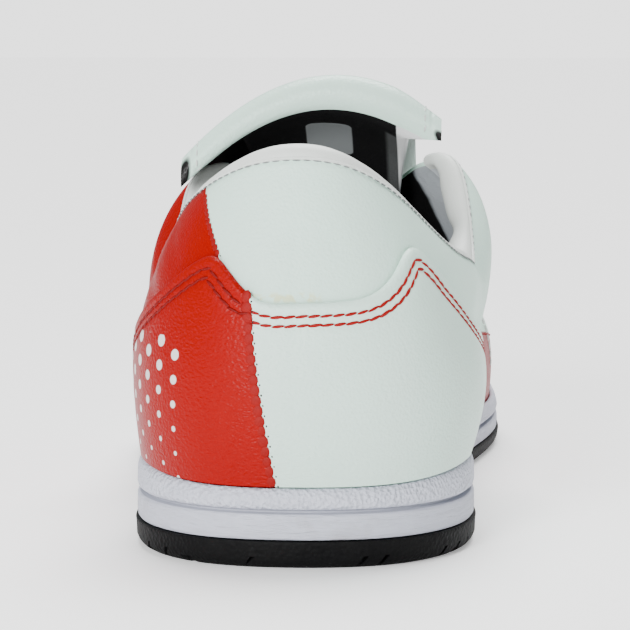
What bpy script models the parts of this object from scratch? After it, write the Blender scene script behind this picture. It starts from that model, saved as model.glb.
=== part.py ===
"""Indoor soccer shoe for a left foot: cupsole, lasted upper with padded collar, stitched heel counter
and fold-over tongue. Toe along +Y, inner side of the foot along +X, standing on z = 0, in metres."""

import math
from collections import namedtuple

import bmesh
import bpy
import numpy as np

# Driving sizes of the last and the sole
SOLE_LENGTH = 0.282
BALL_WIDTH = 0.097
HEEL_WIDTH = 0.074
COLLAR_BACK = 0.0870
COLLAR_DIP = 0.0575
INSTEP_HEIGHT = 0.0890
TOE_SPRING = 0.0095
ARCH_LIFT = 0.0022

# Sole layers, as heights above the outsole's underside
OUTSOLE_HEEL = 0.0059
OUTSOLE_BALL = 0.0040
GROOVE_HEEL = 0.0122
GROOVE_BALL = 0.0084
LIP_HEEL = 0.0170
LIP_BALL = 0.0128
FLOOR_HEEL = 0.0108
FLOOR_BALL = 0.0072

# Walls, gaps and overlays
SEAT_GAP = 0.0003
UPPER_WALL = 0.0020
EDGE_FULLNESS = 0.4
CUP_WALL = 0.0024
COUNTER_GAP = 0.0005
COUNTER_SKIN = 0.0011
COUNTER_SEAM_GAP = 0.0006
INSOLE_THICKNESS = 0.0042
INSOLE_CLEARANCE = 0.0006

# Padded collar, bound over the top edge of the leather
BINDING_HEIGHT = 0.0012
LINING_SKIN = 0.0012
COLLAR_PAD = 0.0042
BINDING_FULLNESS = 0.85
PAD_FADE = 0.07
BINDING_FADE = 0.02
FREE_GAP = 2.2
PAD_START = 0.30

# Tread on the underside
TREAD_DEPTH = 0.0015
TREAD_WIDTH = 0.0024
TREAD_SLANT = 14.0
TREAD_PLACES = (0.05, 0.10, 0.20, 0.25, 0.53, 0.575, 0.62, 0.71, 0.755)

# Tongue, folded over at its top so that a flap hangs forward over the throat
TONGUE_THICKNESS = 0.0028
TONGUE_GAP = 0.0012
FLAP_GAP = 0.0009
TONGUE_ROOT = 0.640
FOLD_ALONG = 0.392
FOLD_UP = 1.085
FLAP_TIP = 0.635

# The way round the shoe is counted from 0 at the back of the heel to 1 at the tip of the toe,
# negative along the outer side of the foot. The throat starts at THROAT_BASE.
THROAT_BASE = 0.56
COLLAR_END = 0.425

Edge = namedtuple("Edge", "name along of_heel of_ball")
SOLE_EDGE = (
    Edge("heel back", 0.000, 0.000, 0.000),
    Edge("outer heel corner", 0.019, -0.285, 0.000),
    Edge("outer heel side", 0.070, -0.450, 0.000),
    Edge("outer heel widest", 0.142, -0.512, 0.000),
    Edge("outer waist back", 0.262, -0.510, 0.000),
    Edge("outer waist", 0.392, -0.300, -0.205),
    Edge("outer ball back", 0.520, 0.000, -0.496),
    Edge("outer ball", 0.618, 0.000, -0.535),
    Edge("outer ball front", 0.722, 0.000, -0.526),
    Edge("outer toe side", 0.850, 0.000, -0.438),
    Edge("outer toe corner", 0.952, 0.000, -0.266),
    Edge("toe tip", 1.000, 0.000, 0.020),
    Edge("inner toe corner", 0.958, 0.000, 0.262),
    Edge("inner toe side", 0.865, 0.000, 0.388),
    Edge("inner ball front", 0.765, 0.000, 0.432),
    Edge("inner ball", 0.672, 0.000, 0.430),
    Edge("inner ball back", 0.572, 0.000, 0.388),
    Edge("inner waist", 0.425, 0.000, 0.332),
    Edge("inner waist back", 0.275, 0.300, 0.118),
    Edge("inner heel widest", 0.142, 0.510, 0.000),
    Edge("inner heel side", 0.070, 0.450, 0.000),
    Edge("inner heel corner", 0.019, 0.285, 0.000),
)
TOE_ROW = 11

# Top line of the outer leather: way round, share of the length, share of the heel width, and its
# height as shares of the collar's back, the collar's dip and the instep
Rim = namedtuple("Rim", "around along out of_back of_dip of_instep")
TOP_LINE = (
    Rim(-0.560, 0.590, -0.010, 0.00, 0.00, 0.752),
    Rim(-0.545, 0.585, -0.085, 0.00, 0.00, 0.753),
    Rim(-0.520, 0.560, -0.150, 0.00, 0.00, 0.770),
    Rim(-0.490, 0.518, -0.208, 0.00, 0.00, 0.812),
    Rim(-0.455, 0.475, -0.276, 0.00, 0.00, 0.858),
    Rim(-0.420, 0.436, -0.366, 0.00, 0.00, 0.890),
    Rim(-0.385, 0.402, -0.440, 0.00, 0.40, 0.580),
    Rim(-0.345, 0.355, -0.462, 0.00, 1.06, 0.000),
    Rim(-0.290, 0.288, -0.466, 0.00, 0.99, 0.000),
    Rim(-0.220, 0.205, -0.416, 0.00, 1.13, 0.000),
    Rim(-0.160, 0.132, -0.356, 0.850, 0.00, 0.000),
    Rim(-0.100, 0.070, -0.250, 0.935, 0.00, 0.000),
    Rim(-0.050, 0.040, -0.130, 0.985, 0.00, 0.000),
    Rim(0.000, 0.032, 0.000, 1.000, 0.00, 0.000),
    Rim(0.050, 0.040, 0.130, 0.985, 0.00, 0.000),
    Rim(0.100, 0.070, 0.250, 0.925, 0.00, 0.000),
    Rim(0.160, 0.132, 0.355, 0.820, 0.00, 0.000),
    Rim(0.220, 0.205, 0.436, 0.00, 1.11, 0.000),
    Rim(0.290, 0.288, 0.482, 0.00, 1.04, 0.000),
    Rim(0.345, 0.355, 0.480, 0.00, 1.09, 0.000),
    Rim(0.385, 0.402, 0.442, 0.00, 0.40, 0.620),
    Rim(0.420, 0.436, 0.370, 0.00, 0.00, 0.918),
    Rim(0.455, 0.475, 0.274, 0.00, 0.00, 0.868),
    Rim(0.490, 0.518, 0.200, 0.00, 0.00, 0.816),
    Rim(0.520, 0.560, 0.130, 0.00, 0.00, 0.772),
    Rim(0.545, 0.585, 0.065, 0.00, 0.00, 0.754),
    Rim(0.560, 0.590, -0.010, 0.00, 0.00, 0.752),
)

# Crest of the closed vamp, in front of the throat: share of the length, share of the heel width
# sideways, height as a share of the instep, and the way round of the wall that ends there
Crest = namedtuple("Crest", "around along out up")
VAMP_CREST = (
    Crest(0.56, 0.590, -0.010, 0.752),
    Crest(0.65, 0.672, 0.000, 0.674),
    Crest(0.75, 0.758, 0.015, 0.604),
    Crest(0.85, 0.834, 0.025, 0.558),
    Crest(0.93, 0.882, 0.030, 0.530),
    Crest(1.00, 0.906, 0.030, 0.510),
)

# Shape of the wall between sole and top line: the outward lean where it leaves the sole, outer and
# inner side, the slope where it arrives (90 is upright), and how far each direction pulls
Wall = namedtuple("Wall", "around lean_outer lean_inner arrive low_pull high_pull")
WALL_SHAPE = (
    Wall(0.000, 9.0, 9.0, 76.0, 0.40, 0.30),
    Wall(0.060, 11.0, 11.0, 72.0, 0.40, 0.32),
    Wall(0.120, 9.5, 15.0, 62.0, 0.42, 0.35),
    Wall(0.180, 7.5, 18.0, 56.0, 0.43, 0.36),
    Wall(0.260, 8.0, 20.0, 60.0, 0.42, 0.34),
    Wall(0.330, 9.5, 21.0, 60.0, 0.40, 0.34),
    Wall(0.400, 12.0, 20.0, 42.0, 0.38, 0.38),
    Wall(0.480, 16.0, 16.0, 26.0, 0.40, 0.42),
    Wall(0.560, 11.0, 10.0, 4.0, 0.44, 0.46),
    Wall(0.660, 6.0, 6.0, 0.0, 0.50, 0.50),
    Wall(0.780, 4.0, 5.0, 0.0, 0.52, 0.52),
    Wall(0.900, 4.0, 5.0, 0.0, 0.57, 0.56),
    Wall(1.000, 4.0, 4.0, 0.0, 0.58, 0.56),
)

# Upper edge of the heel counter: way round and height as a share of the collar's back
Counter = namedtuple("Counter", "around up")
COUNTER_EDGE = (
    Counter(-0.400, 0.262),
    Counter(-0.330, 0.330),
    Counter(-0.250, 0.420),
    Counter(-0.210, 0.478),
    Counter(-0.175, 0.535),
    Counter(-0.145, 0.595),
    Counter(-0.120, 0.650),
    Counter(-0.098, 0.704),
    Counter(-0.080, 0.742),
    Counter(-0.068, 0.750),
    Counter(-0.055, 0.722),
    Counter(-0.040, 0.678),
    Counter(-0.025, 0.650),
    Counter(0.000, 0.645),
    Counter(0.040, 0.650),
    Counter(0.060, 0.664),
    Counter(0.080, 0.712),
    Counter(0.092, 0.752),
    Counter(0.103, 0.766),
    Counter(0.115, 0.748),
    Counter(0.132, 0.700),
    Counter(0.152, 0.645),
    Counter(0.175, 0.590),
    Counter(0.230, 0.505),
    Counter(0.280, 0.448),
    Counter(0.340, 0.385),
    Counter(0.400, 0.320),
    Counter(0.440, 0.280),
    Counter(0.480, 0.250),
)
# The seam between the counter's two leathers, at the sole and at the counter's upper edge
SEAM_LOW = -0.015
SEAM_HIGH = -0.037
COUNTER_END_OUTER = -0.395
COUNTER_END_INNER = 0.465
COUNTER_LOW_EDGE = 0.003
# Half the way round the sole, as a share of its length
HALF_GIRTH = 1.17

# The tongue's strip from root to flap: half widths towards the outer and inner side of the foot as
# shares of the heel width, how strongly it arches across, in drop per metre of width squared, and
# how far its crown sits towards the inner side and how deep it sinks, as shares of the heel width
Strip = namedtuple("Strip", "name outer inner arch crown sink")
STRIP_ROOT = Strip("root", 0.170, 0.170, 24.0, -0.02, 0.034)
STRIP_NECK = Strip("neck", 0.270, 0.280, 16.0, 0.0, 0.0)
STRIP_FOLD = Strip("fold", 0.478, 0.398, 14.5, 0.04, 0.0)
STRIP_FLAP = Strip("flap", 0.440, 0.345, 13.0, 0.03, -0.002)
STRIP_TIP = Strip("flap tip", 0.400, 0.335, 11.0, 0.02, -0.007)
FLAP_PLACES = (0.0, 0.2, 0.4, 0.6, 0.78, 0.90, 0.97, 1.0)
FLAP_ROUNDING = 0.22
STRIP_EDGE = 0.5
# Degrees round the fold at which it has a section, and by which it has its full width
FOLD_TURNS = (20, 45, 70, 95, 120, 150)
FLARE_TURN = 45

# Columns of the upper's mesh along collar, throat and toe, and rows from sole to top line
COLLAR_COLUMNS = 22
THROAT_COLUMNS = 6
TOE_COLUMNS = 14
WALL_ROWS = 10
COUNTER_ROWS = 6
COUNTER_COLUMNS = 26
LINING_ROWS = 5
ROLL_STEPS = 3
STRIP_ACROSS = 12
SHARP_ANGLE = 40

RED = (0.62, 0.02, 0.015, 1.0)
WHITE = (0.78, 0.82, 0.80, 1.0)
SOLE_WHITE = (0.74, 0.74, 0.79, 1.0)
BLACK = (0.012, 0.012, 0.013, 1.0)
LINING_BLACK = (0.010, 0.010, 0.011, 1.0)


def smooth_curve(knots, rows, closed=False):
    """A function giving points on the smooth curve that passes through rows at the given knots."""
    knots, rows = np.asarray(knots, float), np.asarray(rows, float)
    gaps = np.diff(knots)
    rises = np.diff(rows, axis=0) / gaps[:, None]
    count = len(knots)
    system, right = np.zeros((count, count)), np.zeros_like(rows)
    for i in range(1, count - 1):
        system[i, i - 1 : i + 2] = gaps[i], 2 * (gaps[i - 1] + gaps[i]), gaps[i - 1]
        right[i] = 3 * (gaps[i] * rises[i - 1] + gaps[i - 1] * rises[i])
    if closed:
        system[0, [0, 1, -2]] = 2 * (gaps[-1] + gaps[0]), gaps[-1], gaps[0]
        right[0] = 3 * (gaps[0] * rises[-1] + gaps[-1] * rises[0])
        system[-1, [0, -1]] = 1, -1
    else:
        system[0, :2] = 2, 1
        system[-1, -2:] = 1, 2
        right[0], right[-1] = 3 * rises[0], 3 * rises[-1]
    slopes = np.linalg.solve(system, right)

    def at(where):
        where = np.atleast_1d(np.asarray(where, float))
        i = np.clip(np.searchsorted(knots, where, side="right") - 1, 0, count - 2)
        gap = gaps[i][:, None]
        u = ((where - knots[i]) / gaps[i])[:, None]
        return (
            rows[i] * (1 + 2 * u) * (1 - u) ** 2
            + rows[i + 1] * u**2 * (3 - 2 * u)
            + slopes[i] * gap * u * (1 - u) ** 2
            + slopes[i + 1] * gap * u**2 * (u - 1)
        )

    return at


def edge_curve():
    """The sole's outline in plan as a function of the way round, from -1 to 1."""
    points = [
        (row.of_heel * HEEL_WIDTH + row.of_ball * BALL_WIDTH, row.along * SOLE_LENGTH)
        for row in SOLE_EDGE
    ]
    points = np.array([*points, points[0]])
    chords = np.linalg.norm(np.diff(points, axis=0), axis=1)
    knots = np.concatenate([[0], np.cumsum(chords)])
    curve = smooth_curve(knots, points, closed=True)
    toe = knots[TOE_ROW]
    outer = np.linspace(0, toe, 400)
    inner = np.linspace(knots[-1], toe, 400)
    tables = {}
    for side, way in ((-1, outer), (1, inner)):
        steps = np.linalg.norm(np.diff(curve(way), axis=0), axis=1)
        share = np.concatenate([[0], np.cumsum(steps)])
        tables[side] = (share / share[-1], way)

    def at(around):
        around = np.atleast_1d(np.asarray(around, float))
        where = np.where(
            around < 0,
            np.interp(-around, *tables[-1]),
            np.interp(around, *tables[1]),
        )
        return curve(where)

    return at


EDGE_AT = edge_curve()
RIM_AT = smooth_curve(
    [r.around for r in TOP_LINE],
    [
        (
            r.out * HEEL_WIDTH,
            r.along * SOLE_LENGTH,
            r.of_back * COLLAR_BACK + r.of_dip * COLLAR_DIP + r.of_instep * INSTEP_HEIGHT,
        )
        for r in TOP_LINE
    ],
)
CREST_AT = smooth_curve(
    [c.around for c in VAMP_CREST],
    [(c.out * HEEL_WIDTH, c.along * SOLE_LENGTH, c.up * INSTEP_HEIGHT) for c in VAMP_CREST],
)
WALL_AT = smooth_curve([w.around for w in WALL_SHAPE], [w[1:] for w in WALL_SHAPE])
COUNTER_AT = smooth_curve(
    [c.around for c in COUNTER_EDGE],
    [(c.up * COLLAR_BACK,) for c in COUNTER_EDGE],
)


def edge_normals(around):
    """Outward directions of the sole's outline in plan."""
    step = 0.002
    ahead = np.asarray(around, float) + step
    behind = np.asarray(around, float) - step
    ahead, behind = np.where(ahead > 1, ahead - 2, ahead), np.where(behind < -1, behind + 2, behind)
    run = EDGE_AT(ahead) - EDGE_AT(behind)
    out = np.stack([run[:, 1], -run[:, 0]], axis=1)
    return out / np.linalg.norm(out, axis=1)[:, None]


def inset_edge(around, inset):
    """The outline moved inwards by inset, in plan."""
    return EDGE_AT(around) - edge_normals(around) * inset


def eased(share):
    share = np.clip(share, 0, 1)
    return share * share * (3 - 2 * share)


def lift(along):
    """Height of the underside over the floor: 0 under heel and ball, an arch, and the toe spring."""
    share = np.asarray(along, float) / SOLE_LENGTH
    arch = eased((share - 0.31) / 0.08) * eased((0.50 - share) / 0.08)
    toe = np.clip((share - 0.74) / 0.26, 0, None) ** 1.7
    return ARCH_LIFT * arch + TOE_SPRING * toe


def layer(along, at_heel, at_ball):
    """Height of a layer of the sole over the floor, thinner towards the ball."""
    share = np.asarray(along, float) / SOLE_LENGTH
    return lift(along) + at_heel + (at_ball - at_heel) * eased((share - 0.20) / 0.42)


def lip_height(along):
    """Top of the midsole's side: it rises a little beside the heel and at the toe."""
    share = np.asarray(along, float) / SOLE_LENGTH
    beside_heel = 0.0022 * eased(share / 0.12) * eased((0.45 - share) / 0.25)
    toe_bumper = 0.0030 * eased((share - 0.82) / 0.16)
    return layer(along, LIP_HEEL, LIP_BALL) + beside_heel + toe_bumper


UPPER_INSET = CUP_WALL + SEAT_GAP
CREST_STEP = 0.01


def wall_points(around, shares):
    """Points on the upper's outer face, for one way round, at shares of the way from sole to top."""
    base = inset_edge([around], UPPER_INSET)[0]
    out = edge_normals([around])[0]
    low = np.array([*base, float(lip_height(base[1])) + SEAT_GAP])
    size = abs(around)
    lean_outer, lean_inner, arrive, low_pull, high_pull = WALL_AT([size])[0]
    lean = math.radians(lean_outer if around < 0 else lean_inner)
    if size < THROAT_BASE:
        top = RIM_AT([around])[0]
        slope = math.radians(arrive)
        arriving = np.array([-out[0] * math.cos(slope), -out[1] * math.cos(slope), math.sin(slope)])
    else:
        top = CREST_AT([size])[0]
        ahead = CREST_AT([min(size + CREST_STEP, 1)])[0]
        behind = CREST_AT([max(size - CREST_STEP, THROAT_BASE)])[0]
        fall = (ahead[2] - behind[2]) / (ahead[1] - behind[1])
        slope = math.radians(arrive)
        arriving = np.array([-out[0], -out[1], -out[1] * fall + math.sin(slope)])
    rise = top[2] - low[2]
    reach = math.hypot(top[0] - low[0], top[1] - low[1])
    leaving = np.array([out[0] * math.sin(lean), out[1] * math.sin(lean), math.cos(lean)])
    first = low + leaving * rise * low_pull
    length = max(rise, reach) if size < THROAT_BASE else reach
    second = top - arriving * length * high_pull
    s = np.asarray(shares, float)[:, None]
    near = low * (1 - s) ** 3 + 3 * first * s * (1 - s) ** 2
    return near + 3 * second * s**2 * (1 - s) + top * s**3


def columns():
    """Ways round at which the upper has a column of points, from toe tip over the outer side."""
    side = np.concatenate(
        [
            np.linspace(0, COLLAR_END, COLLAR_COLUMNS, endpoint=False),
            np.linspace(COLLAR_END, THROAT_BASE, THROAT_COLUMNS, endpoint=False),
            np.linspace(THROAT_BASE, 1, TOE_COLUMNS + 1),
        ]
    )
    return np.concatenate([-side[::-1], side[1:-1]])


def vertex_normals(points, faces):
    """Unit normals at the points of a surface of quads, weighted by area."""
    normals = np.zeros_like(points)
    for face in faces:
        a, b, c, d = points[list(face)]
        across = np.cross(c - a, d - b)
        for corner in set(face):
            normals[corner] += across
    lengths = np.linalg.norm(normals, axis=1)[:, None]
    normals /= np.where(lengths > 0, lengths, 1)
    middle = points.mean(axis=0)
    outwards = np.einsum("ij,ij->", normals, points - middle) > 0
    return normals if outwards else -normals


def make_object(name, points, faces, colour, roughness):
    """One closed object from points and faces, with its faces turned outwards."""
    mesh = bpy.data.meshes.new(name)
    mesh.from_pydata([tuple(p) for p in points], [], [tuple(dict.fromkeys(f)) for f in faces])
    work = bmesh.new()
    work.from_mesh(mesh)
    bmesh.ops.remove_doubles(work, verts=work.verts, dist=1e-6)
    bmesh.ops.recalc_face_normals(work, faces=work.faces)
    if work.calc_volume(signed=True) < 0:
        bmesh.ops.reverse_faces(work, faces=work.faces)
    work.to_mesh(mesh)
    work.free()
    mesh.shade_smooth()
    mesh.set_sharp_from_angle(angle=math.radians(SHARP_ANGLE))
    mesh.materials.append(finish(name, colour, roughness))
    made = bpy.data.objects.new(name, mesh)
    bpy.context.scene.collection.objects.link(made)
    return made


def finish(name, colour, roughness):
    material = bpy.data.materials.new(name)
    material.use_nodes = True
    shader = material.node_tree.nodes["Principled BSDF"]
    shader.inputs["Base Color"].default_value = colour
    shader.inputs["Roughness"].default_value = roughness
    shader.inputs["Metallic"].default_value = 0.0
    material.diffuse_color = colour
    return material


def pad_share(around):
    """1 where the collar is padded, 0 towards the top of the throat."""
    return eased((COLLAR_END - abs(around)) / PAD_FADE)


def wall_length(around):
    """Length of the way up the wall, from sole to top line."""
    points = wall_points(around, np.linspace(0, 1, 25))
    return float(np.linalg.norm(np.diff(points, axis=0), axis=1).sum())


def leather_top(around):
    """Share of the way up at which the outer leather ends: under the binding, along the collar."""
    bound = eased((COLLAR_END + BINDING_FADE - abs(around)) / BINDING_FADE)
    return 1 - bound * BINDING_HEIGHT / wall_length(around)


def rolled_edge(outside, inside, upward, steps, fullness):
    """Loops of points that round an edge over from outside to inside, both left out."""
    centre, half = (outside + inside) / 2, (outside - inside) / 2
    size = np.linalg.norm(half, axis=1)[:, None]
    angles = [math.pi * step / (steps + 1) for step in range(1, steps + 1)]
    return [centre + half * math.cos(a) + upward * size * fullness * math.sin(a) for a in angles]


def build_upper():
    """One hollow wall, closed over the vamp, open at the collar, the throat and underneath."""
    ways = columns()
    count = len(ways)
    leather = [np.linspace(0, leather_top(way), WALL_ROWS + 1) for way in ways]
    outer = np.array([wall_points(way, shares) for way, shares in zip(ways, leather)])
    foot = outer[:, 0].copy()
    foot[:, 2] = layer(foot[:, 1], FLOOR_HEEL, FLOOR_BALL) + SEAT_GAP
    outer = np.concatenate([foot[:, None], outer], axis=1)
    rows = WALL_ROWS + 2
    ids = np.arange(count * rows).reshape(count, rows)
    for i, way in enumerate(ways):
        if way >= THROAT_BASE - 1e-9:
            ids[i, -1] = ids[count - i, -1]
    quads = [
        (ids[i, j], ids[(i + 1) % count, j], ids[(i + 1) % count, j + 1], ids[i, j + 1])
        for i in range(count)
        for j in range(rows - 1)
    ]
    flat = outer.reshape(-1, 3)
    normals = vertex_normals(flat, quads)
    inner = flat - normals * UPPER_WALL
    inner.reshape(count, rows, 3)[:, 0, 2] = foot[:, 2]
    total = count * rows
    faces = list(quads)
    faces += [tuple(total + v for v in reversed(q)) for q in quads]
    faces += [
        (ids[i, 0], total + ids[i, 0], total + ids[(i + 1) % count, 0], ids[(i + 1) % count, 0])
        for i in range(count)
    ]
    points = [*flat, *inner]
    opening = [ids[i, -1] for i, way in enumerate(ways) if abs(way) < THROAT_BASE + 1e-9]
    rim = opening[:-1]
    upward = flat[rim] - flat[[v - 1 for v in rim]]
    upward /= np.linalg.norm(upward, axis=1)[:, None]
    rolls = [rim]
    for loop in rolled_edge(flat[rim], inner[rim], upward, 1, EDGE_FULLNESS):
        rolls.append(list(range(len(points), len(points) + len(rim))))
        points += list(loop)
    rolls.append([total + v for v in rim])
    for low, high in zip(rolls, rolls[1:]):
        for k in range(len(rim)):
            n = (k + 1) % len(rim)
            faces.append((low[k], low[n], high[n], high[k]))
    used = sorted({v for f in faces for v in f})
    number = {v: n for n, v in enumerate(used)}
    faces = [tuple(number[v] for v in f) for f in faces]
    return make_object("upper", [points[v] for v in used], faces, WHITE, 0.45)


def build_collar():
    """Padded lining inside the collar, carried over the leather's top edge as its binding."""
    ways = sorted(way for way in columns() if abs(way) < COLLAR_END + 1e-9)
    rings = []
    for way in ways:
        gap = SEAT_GAP * (FREE_GAP + (1 - FREE_GAP) * pad_share(way))
        back = UPPER_WALL + gap
        top = leather_top(way)
        start = top + (gap + UPPER_WALL / 2 * EDGE_FULLNESS) / wall_length(way)
        leather = [top * row / WALL_ROWS for row in range(WALL_ROWS - LINING_ROWS, WALL_ROWS + 1)]
        skin = [skin_point(way, share, 0.0) for share in (start, 1)]
        depths = np.linspace(1, leather[0], LINING_ROWS + 1)
        face = []
        for k, depth in enumerate(depths):
            turn = PAD_START + (1 - PAD_START) * k / LINING_ROWS
            swell = COLLAR_PAD * pad_share(way) * math.sin(math.pi * turn)
            face.append(skin_point(way, depth, back + LINING_SKIN + swell))
        behind = [skin_point(way, share, back) for share in leather[:-1]] + [skin_point(way, start, back)]
        upward = skin[1] - skin[0]
        upward /= np.linalg.norm(upward)
        roll = rolled_edge(skin[1][None], face[0][None], upward[None], ROLL_STEPS, BINDING_FULLNESS)
        rings.append([*skin, *[loop[0] for loop in roll], *face, *behind])
    return closed_rings("collar_lining", rings, WHITE, 0.6)


def strip_mix(low, high, share):
    """Half widths and arch of the tongue's strip between two named sections."""
    return [a + (b - a) * share for a, b in zip(low[1:], high[1:])]


def throat_line():
    """The line midway between the tongue and its flap, from root to fold, as (along, up) points."""
    middle = (FLAP_GAP - UPPER_WALL - TONGUE_GAP) / 2
    line = []
    for around in (0.63, 0.595, THROAT_BASE):
        crest = CREST_AT([around])[0]
        line.append((crest[1], crest[2] + middle))
    line[0] = (TONGUE_ROOT * SOLE_LENGTH, line[0][1])
    for around in (0.52, 0.485, 0.45, COLLAR_END):
        left, right = RIM_AT([-around])[0], RIM_AT([around])[0]
        half = (right[0] - left[0]) / 2
        height = (left[2] + right[2]) / 2 + STRIP_NECK.arch * half**2
        line.append(((left[1] + right[1]) / 2, height + middle))
    line.append((FOLD_ALONG * SOLE_LENGTH, FOLD_UP * INSTEP_HEIGHT))
    return np.array(line)


def build_tongue():
    """Padded tongue under the throat, folded over at its top, with a flap hanging forward."""
    knots = throat_line()
    steps = np.concatenate([[0], np.cumsum(np.linalg.norm(np.diff(knots, axis=0), axis=1))])
    line_at = smooth_curve(steps / steps[-1], knots)
    apart = (FLAP_GAP + UPPER_WALL + TONGUE_GAP) / 2 + TONGUE_THICKNESS / 2
    sections = []

    def across(share):
        run = line_at(min(share + 0.01, 1.0))[0] - line_at(max(share - 0.01, 0.0))[0]
        run /= np.linalg.norm(run)
        return np.array([-run[1], run[0]]) * (1 if run[0] > 0 else -1)

    for share in np.linspace(0, 1, 10):
        mix = strip_mix(STRIP_ROOT, STRIP_NECK, share)
        out = -across(share)
        sections.append((line_at(share)[0] + out * (apart + mix[4] * HEEL_WIDTH), out, mix))
    end, low = line_at(1.0)[0], -across(1.0)
    side = np.array([low[1], -low[0]])
    side = side if side[0] < 0 else -side
    for turn in FOLD_TURNS:
        angle = math.radians(turn)
        out = low * math.cos(angle) + side * math.sin(angle)
        mix = strip_mix(STRIP_NECK, STRIP_FOLD, min(turn / FLARE_TURN, 1))
        sections.append((end + out * apart, out, mix))
    tip = (FLAP_TIP * SOLE_LENGTH - knots[-1, 0]) / (knots[0, 0] - knots[-1, 0])
    for part in FLAP_PLACES:
        share = 1 - part * tip
        out = across(share)
        if part < FLAP_PLACES[1]:
            mix = strip_mix(STRIP_FOLD, STRIP_FLAP, part / FLAP_PLACES[1])
        else:
            mix = strip_mix(STRIP_FLAP, STRIP_TIP, (part - FLAP_PLACES[1]) / (1 - FLAP_PLACES[1]))
        rounding = math.sqrt(1 - 0.5 * max(0, (part - 1 + FLAP_ROUNDING) / FLAP_ROUNDING) ** 2)
        mix = [mix[0] * rounding, mix[1] * rounding, *mix[2:]]
        sections.append((line_at(share)[0] + out * (apart - mix[4] * HEEL_WIDTH), out, mix))
    rings = []
    for centre, out, (outer, inner, arch, crown, _) in sections:
        sides = np.linspace(-outer * HEEL_WIDTH, inner * HEEL_WIDTH, STRIP_ACROSS + 1)
        half = TONGUE_THICKNESS / 2

        def at(x, offset):
            drop = arch * (x - crown * HEEL_WIDTH) ** 2
            return (x, centre[0] + out[0] * offset, centre[1] + out[1] * offset - drop)

        top = [at(x, half) for x in sides[1:-1]]
        low_side = [at(x, -half) for x in sides[1:-1]][::-1]
        edge = half * STRIP_EDGE
        inner_end = [at(sides[-1], edge), at(sides[-1], -edge)]
        outer_end = [at(sides[0], -edge), at(sides[0], edge)]
        rings.append([outer_end[1], *top, *inner_end, *low_side, outer_end[0]])
    return strip_solid("tongue", rings, WHITE, 0.45)


def strip_solid(name, rings, colour, roughness):
    """A solid strip from rings whose first half runs over the outer face and second half back."""
    count = len(rings[0])
    across = [(i, i + 1, count - i - 2, count - i - 1) for i in range(count // 2 - 1)]
    return closed_rings(name, rings, colour, roughness, across)


def closed_rings(name, rings, colour, roughness, across=None):
    """A solid from rings of equal count, its ends filled by the given faces or by one each."""
    count = len(rings[0])
    points = [p for ring in rings for p in ring]
    faces = []
    for k in range(len(rings) - 1):
        for i in range(count):
            n = (i + 1) % count
            faces.append((k * count + i, k * count + n, (k + 1) * count + n, (k + 1) * count + i))
    for base in (0, (len(rings) - 1) * count):
        for face in across or [tuple(range(count))]:
            faces.append(tuple(base + v for v in face))
    return make_object(name, points, faces, colour, roughness)


def stacked_loops(name, loops, colour, roughness):
    """A solid from closed loops of equal count, its ends filled by rungs across the shoe."""
    count = len(loops[0])
    points = [p for loop in loops for p in loop]
    faces = []
    for k in range(len(loops) - 1):
        for i in range(count):
            n = (i + 1) % count
            faces.append((k * count + i, k * count + n, (k + 1) * count + n, (k + 1) * count + i))
    for base in (0, (len(loops) - 1) * count):
        for i in range(count // 2):
            ring = (i, i + 1, (count - i - 1) % count, (count - i) % count)
            faces.append(tuple(base + v for v in ring))
    return make_object(name, points, faces, colour, roughness)


SOLE_WAYS = columns()


def sole_loop(inset, height):
    """A loop round the sole at an inset from its edge, its height a function of the length."""
    plan = inset_edge(SOLE_WAYS, inset)
    return np.column_stack([plan, height(plan[:, 1])])


def build_outsole():
    """Black rubber tread: a flat underside with a rolled lower edge, carried up as a low wall."""

    def over_floor(extra):
        return lambda along: lift(along) + extra

    def under_top(less):
        return lambda along: layer(along, OUTSOLE_HEEL, OUTSOLE_BALL) - less

    loops = [
        sole_loop(0.0026, over_floor(0.0)),
        sole_loop(0.0012, over_floor(0.0004)),
        sole_loop(0.0003, over_floor(0.0015)),
        sole_loop(0.0000, under_top(0.0004)),
        sole_loop(0.0004, under_top(0.0)),
    ]
    return stacked_loops("outsole", loops, BLACK, 0.7)


def build_midsole():
    """White cup: its side has a groove between two bands, and the upper sits down inside it."""

    def over_outsole(along):
        return layer(along, OUTSOLE_HEEL, OUTSOLE_BALL) + SEAT_GAP

    def groove(extra):
        return lambda along: layer(along, GROOVE_HEEL, GROOVE_BALL) + extra

    def lip(less):
        return lambda along: lip_height(along) - less

    def floor(along):
        return layer(along, FLOOR_HEEL, FLOOR_BALL)

    loops = [
        sole_loop(0.0006, over_outsole),
        sole_loop(0.0005, groove(-0.0008)),
        sole_loop(0.0014, groove(-0.0002)),
        sole_loop(0.0014, groove(0.0002)),
        sole_loop(0.0006, groove(0.0008)),
        sole_loop(0.0007, lip(0.0015)),
        sole_loop(0.0012, lip(0.0004)),
        sole_loop(0.0018, lip(0.0)),
        sole_loop(CUP_WALL, lip(0.0004)),
        sole_loop(CUP_WALL, floor),
    ]
    return stacked_loops("midsole", loops, SOLE_WHITE, 0.6)


def build_insole():
    """Foam footbed lying on the cup's floor, inside the upper."""
    edge = UPPER_INSET + UPPER_WALL + INSOLE_CLEARANCE

    def raised(extra):
        return lambda along: layer(along, FLOOR_HEEL, FLOOR_BALL) + SEAT_GAP + extra

    loops = [
        sole_loop(edge, raised(0.0)),
        sole_loop(edge, raised(INSOLE_THICKNESS * 0.7)),
        sole_loop(edge + 0.0012, raised(INSOLE_THICKNESS)),
        sole_loop(edge + 0.0060, raised(INSOLE_THICKNESS * 0.8)),
    ]
    return stacked_loops("insole", loops, LINING_BLACK, 0.9)


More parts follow.
